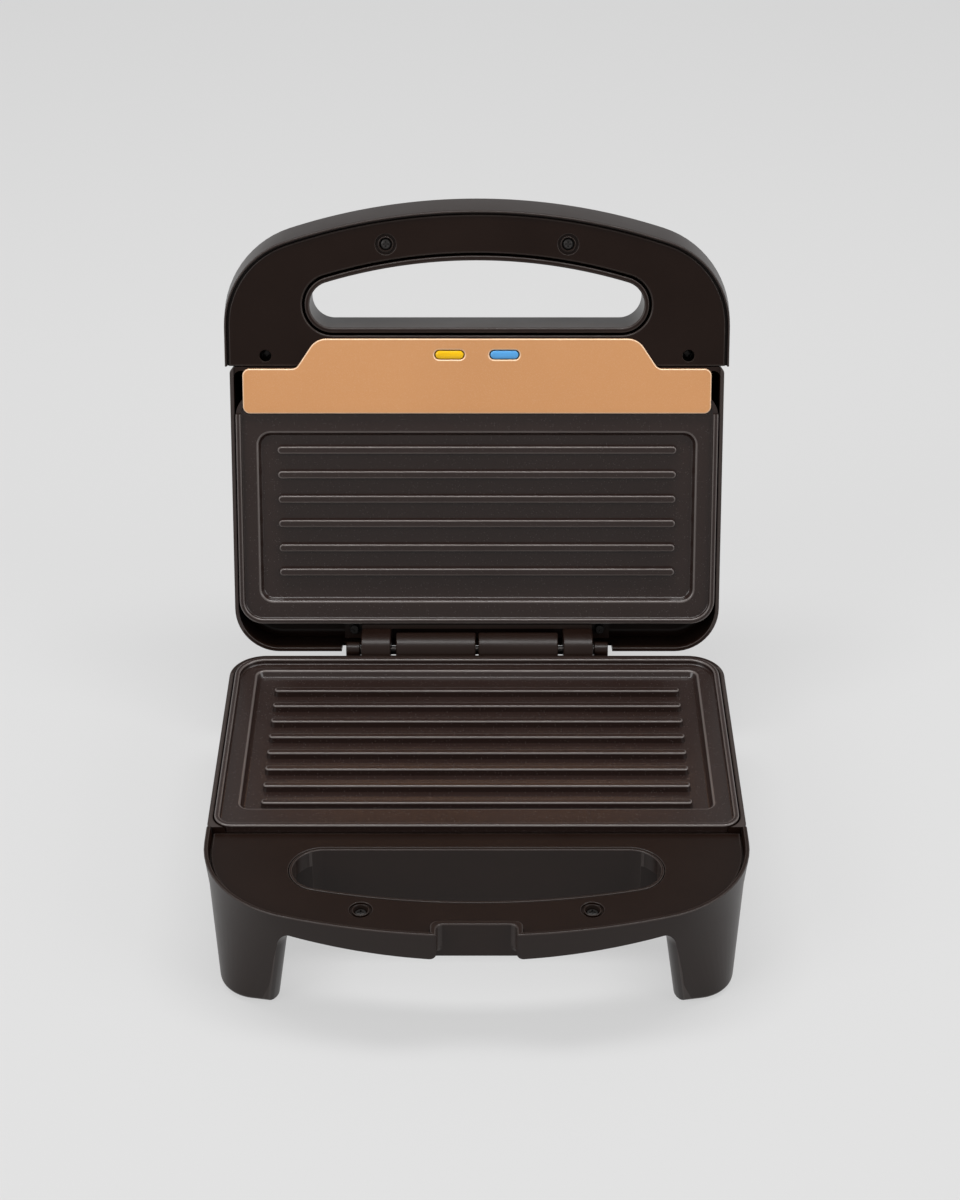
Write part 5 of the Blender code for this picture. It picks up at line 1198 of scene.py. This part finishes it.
cut(base_handle, profiled(
    on_base, lambda outset, level: rounded_rectangle(
        notch_half + outset, notch_back - (outset if level > slab_bottom else 0),
        bow_front + overrun, notch_corner, notch_corner),
    (notch_corner, -overrun), (notch_corner, notch_apron), (0, notch_apron, notch_corner),
    (0, base_rim, rim_ease), (rim_ease, base_rim), (rim_ease, base_rim + overrun), by_level=True))
cut(base_handle,
    *uprights(on_base, base_rings, screw_hole, 0.0443, cavity_floor + overrun),
    *uprights(on_base, cover_screws, screw_hole, underside - overrun, 0.031),
    *uprights(on_base, both((leg_inner_bottom + foot_shape[0]) / 2, pad_reach), pad_hole_radius,
              -overrun, 0.0028))
dress(base_handle, "casing_plastic", "base", "base_handle_shell")

# %% [markdown]
# The lower handle's cover has the same parts as the lid's, so the same function makes it. It lies
# deeper under its rim, and the recess in the front edge is cut out of it as well.

# %% Lower handle cover
cover_notch = rounded_rectangle(0.0187, 0.185, bow_front + overrun, notch_corner, notch_corner)
base_cover = handle_cover("base_handle_cover_fine", on_base, base_shape, inset=0.0029,
                          rear=bow_rear + seat_gap, opening=base_opening, outset=0.0016,
                          ease=0.0004, top=cover_top, bottom=cover_under)
cut(base_cover, prism(on_base, cover_notch, cover_under - overrun, cover_top + overrun))
screw_wells(base_cover, on_base, base_rings, cover_top, sunk(0.0068), 0.0473)
dress(base_cover, "cover_plastic", "base", "base_handle_cover")

# %% [markdown]
# The hinge shows between the lid and the base: two wide barrels and two small ears on the housing,
# and the knuckles of the lid's bracket between them. The ends of each round are eased, which gives
# the thin bright lines at their left sides. Each round is drawn as a keyhole, so it and the neck
# that carries it are one shape; a separate cylinder would leave a seam to join.

# %% Hinge housing
barrel_radius = 0.0081
barrel_ends = (0.0007, 0.0373)
ear_radius = 0.0037
ear_ends = (0.0541, 0.0605)
pin_hole_radius = 0.0023
end_ease = 0.0004
pin_center = (-hinge_setback, hinge_height)
housing_low = 0.0254
housing_top = hinge_height - 0.0087
housing_front = -0.0029
housing_back = -hinge_setback - 0.0085
housing_wall = 0.0022
housing_bevel = 0.0025
gland_height = (housing_low + housing_top) / 2
gland_x = 0.030


def keyhole(radius, neck_half):
    """A round head on a neck, as a profile of reach and height."""
    start_deg = -math.degrees(math.acos(neck_half / radius))
    points = arc(pin_center, radius, start_deg, 180 - start_deg, circle_steps)
    foot = housing_top - 0.0011
    return points + [(pin_center[0] - neck_half, foot), (pin_center[0] + neck_half, foot)]


def on_both_sides(place, profile, ends):
    """A bar with eased ends on the right of the middle, and the same on the left."""
    low, high = ends
    return [bar(place, profile, *side, end_ease) for side in ((low, high), (-high, -low))]


def along_reach(x, height, radius, rear, front):
    """A round bar along the reach."""
    return [[on_base(across, reach, level) for across, level in circle((x, height), radius)]
            for reach in (rear, front)]


housing = solid("hinge_housing_fine", bar(on_base, [
    (housing_front, housing_low), (housing_front, housing_top), (housing_back, housing_top),
    (housing_back, housing_low + housing_bevel), (housing_back + housing_bevel, housing_low)],
    -ear_ends[1], ear_ends[1], 0.0005))
join(housing, *on_both_sides(on_base, keyhole(barrel_radius, 0.005), barrel_ends),
     *on_both_sides(on_base, keyhole(ear_radius, 0.0036), ear_ends))
cut(housing, prism(on_base, rectangle(-0.048, 0.048, housing_back + housing_wall,
                                      housing_front + overrun),
                   housing_low + housing_wall, housing_top - housing_wall),
    bar(on_base, circle(pin_center, pin_hole_radius), -plate_half, plate_half),
    *[along_reach(x, gland_height, screw_hole, housing_front - 0.0115, housing_front + overrun)
      for x in (-0.054, 0.054)])
cut(housing, along_reach(gland_x, gland_height, 0.0048, housing_back - overrun,
                         housing_back + 0.0042))
dress(housing, "casing_plastic", "base", "hinge_housing")

# %% [markdown]
# The bracket's knuckles turn round the pin. Each has an arm that leans just enough to clear the
# corner of the base when the lid is shut. The lean is worked out from that corner and not set by
# eye, so it holds if a size changes.

# %% Hinge bracket
knuckle_ends = (0.0399, 0.0534)
strip_front = hinge_setback - 0.0006
strip_rear = strip_front - 0.002
arm_front_end = strip_front - 0.001
arm_back_end = 0.01375
arm_rim_depth = 0.0018
arm_clearance = 0.0004
heel_reach = 0.004
heel_depth = 0.0025
corner = Vector((hinge_setback - 0.0026, rim_height - hinge_height - 0.0008))
arm_lean = (math.atan2(corner.y, corner.x)
            - math.acos((barrel_radius + arm_clearance) / corner.length))
arm_rise = arm_rim_depth - lid_axis_depth
arm_front = (barrel_radius - arm_rise * math.sin(arm_lean)) / math.cos(arm_lean)
heel_deg = -180 - math.degrees(math.atan2(heel_depth - lid_axis_depth, heel_reach))


def in_bracket(x, ahead, depth):
    """A point of the bracket, given ahead of the pin and outward from the lid's rim."""
    return in_lid(x, ahead - hinge_setback, depth)


knuckle = [(arm_front_end, arm_back_end), (arm_front_end, arm_rim_depth),
           (arm_front, arm_rim_depth)]
knuckle += arc((0, lid_axis_depth), barrel_radius, math.degrees(arm_lean), heel_deg, circle_steps)
knuckle += [(-heel_reach, heel_depth), (-heel_reach, 0.0085), (0.0015, 0.0114),
            (0.0015, arm_back_end)]
bracket = solid("lid_hinge_bracket_fine", bar(in_bracket, [
    (strip_front, 0.0012), (strip_rear, 0.0012), (strip_rear, 0.014), (strip_front, 0.014)],
    -knuckle_ends[1], knuckle_ends[1], end_ease))
join(bracket, prism(in_bracket, rectangle(-0.062, 0.062, 0.0015, strip_front + merge_distance),
                    0.0125, 0.015))
join(bracket, *on_both_sides(in_bracket, knuckle, knuckle_ends))
cut(bracket, bar(in_bracket, circle((0, lid_axis_depth), pin_hole_radius), -plate_half, plate_half),
    *uprights(in_lid, bracket_screws, screw_hole, 0.0105, 0.017))
dress(bracket, "casing_plastic", "lid", "lid_hinge_bracket")

# %% [markdown]
# The studio is a pale floor and soft light from all sides, with one long lamp above and two square
# ones in front, to the left and right. To the camera the floor is mostly its own even colour, with
# a part left to the lamps, so the soft shadow under the feet stays. More light would pale the
# object as well, so the floor's own colour does this.

# %% Studio
floor_half = 6.0
floor_gray = 0.694
floor_shadow_share = 0.25
sky_strength = 0.42
far_floor = floor_gray * (1 - floor_shadow_share + floor_shadow_share * sky_strength)


def mix_shaders(tree, share, first, second, leave):
    """Send a mix of two shaders to a tree's output node."""
    blend = add_node(tree, "MixShader")
    for term, socket in zip((share, first, second), blend.inputs):
        tree.links.new(term, socket)
    tree.links.new(blend.outputs["Shader"], tree.nodes[leave].inputs["Surface"])


def studio_floor():
    """A large pale floor whose colour stays even in the picture."""
    mesh = bmesh.new()
    bmesh.ops.create_grid(mesh, x_segments=1, y_segments=1, size=floor_half)
    floor = object_from("floor", mesh)
    material = bpy.data.materials.new("pale_floor")
    material.use_nodes = True
    tree = material.node_tree
    gray = (floor_gray, floor_gray, floor_gray, 1)
    shader = tree.nodes["Principled BSDF"]
    feed(tree, shader, Base_Color=gray, Roughness=0.9, Specular_IOR_Level=0.1)
    glow = add_node(tree, "Emission", Color=gray)
    rays = add_node(tree, "LightPath").outputs
    seen = math_node(tree, "MAXIMUM", rays["Is Camera Ray"], rays["Is Glossy Ray"])
    seen = math_node(tree, "MAXIMUM", seen, rays["Is Transmission Ray"])
    share = math_node(tree, "MULTIPLY", seen, 1 - floor_shadow_share)
    mix_shaders(tree, share, shader.outputs["BSDF"], glow.outputs["Emission"], "Material Output")
    floor.data.materials.append(material)


def studio_lamp(name, place, target, width, height, watts):
    """A soft rectangular lamp that faces a point."""
    lamp = bpy.data.lights.new(name, "AREA")
    lamp.shape = "RECTANGLE"
    lamp.size = width
    lamp.size_y = height
    lamp.energy = watts
    holder = bpy.data.objects.new(name, lamp)
    bpy.context.collection.objects.link(holder)
    holder.location = place
    holder.rotation_euler = (Vector(target) - Vector(place)).to_track_quat("-Z", "Y").to_euler()


studio_floor()
object_middle = (Vector(cad_box[0]) + Vector(cad_box[1])) / 2
studio_lamp("top_lamp", (0, 0.05, 1.5), object_middle, 1.4, 0.3, 17)
studio_lamp("left_lamp", (-1.6, -1.2, 1.3), object_middle, 1.2, 1.2, 20)
studio_lamp("right_lamp", (1.7, -0.9, 1.1), object_middle, 1.2, 1.2, 15)
sky = bpy.data.worlds.new("studio_light")
sky.use_nodes = True
sky_tree = sky.node_tree
sky_fill = sky_tree.nodes["Background"]
feed(sky_tree, sky_fill, Color=(1, 1, 1, 1), Strength=sky_strength)
sky_seen = add_node(sky_tree, "Background", Color=(far_floor, far_floor, far_floor, 1))
camera_ray = add_node(sky_tree, "LightPath").outputs["Is Camera Ray"]
mix_shaders(sky_tree, camera_ray, sky_fill.outputs["Background"], sky_seen.outputs["Background"],
            "World Output")
bpy.context.scene.world = sky
print("lamps", len(bpy.data.lights), "sky", sky_strength)
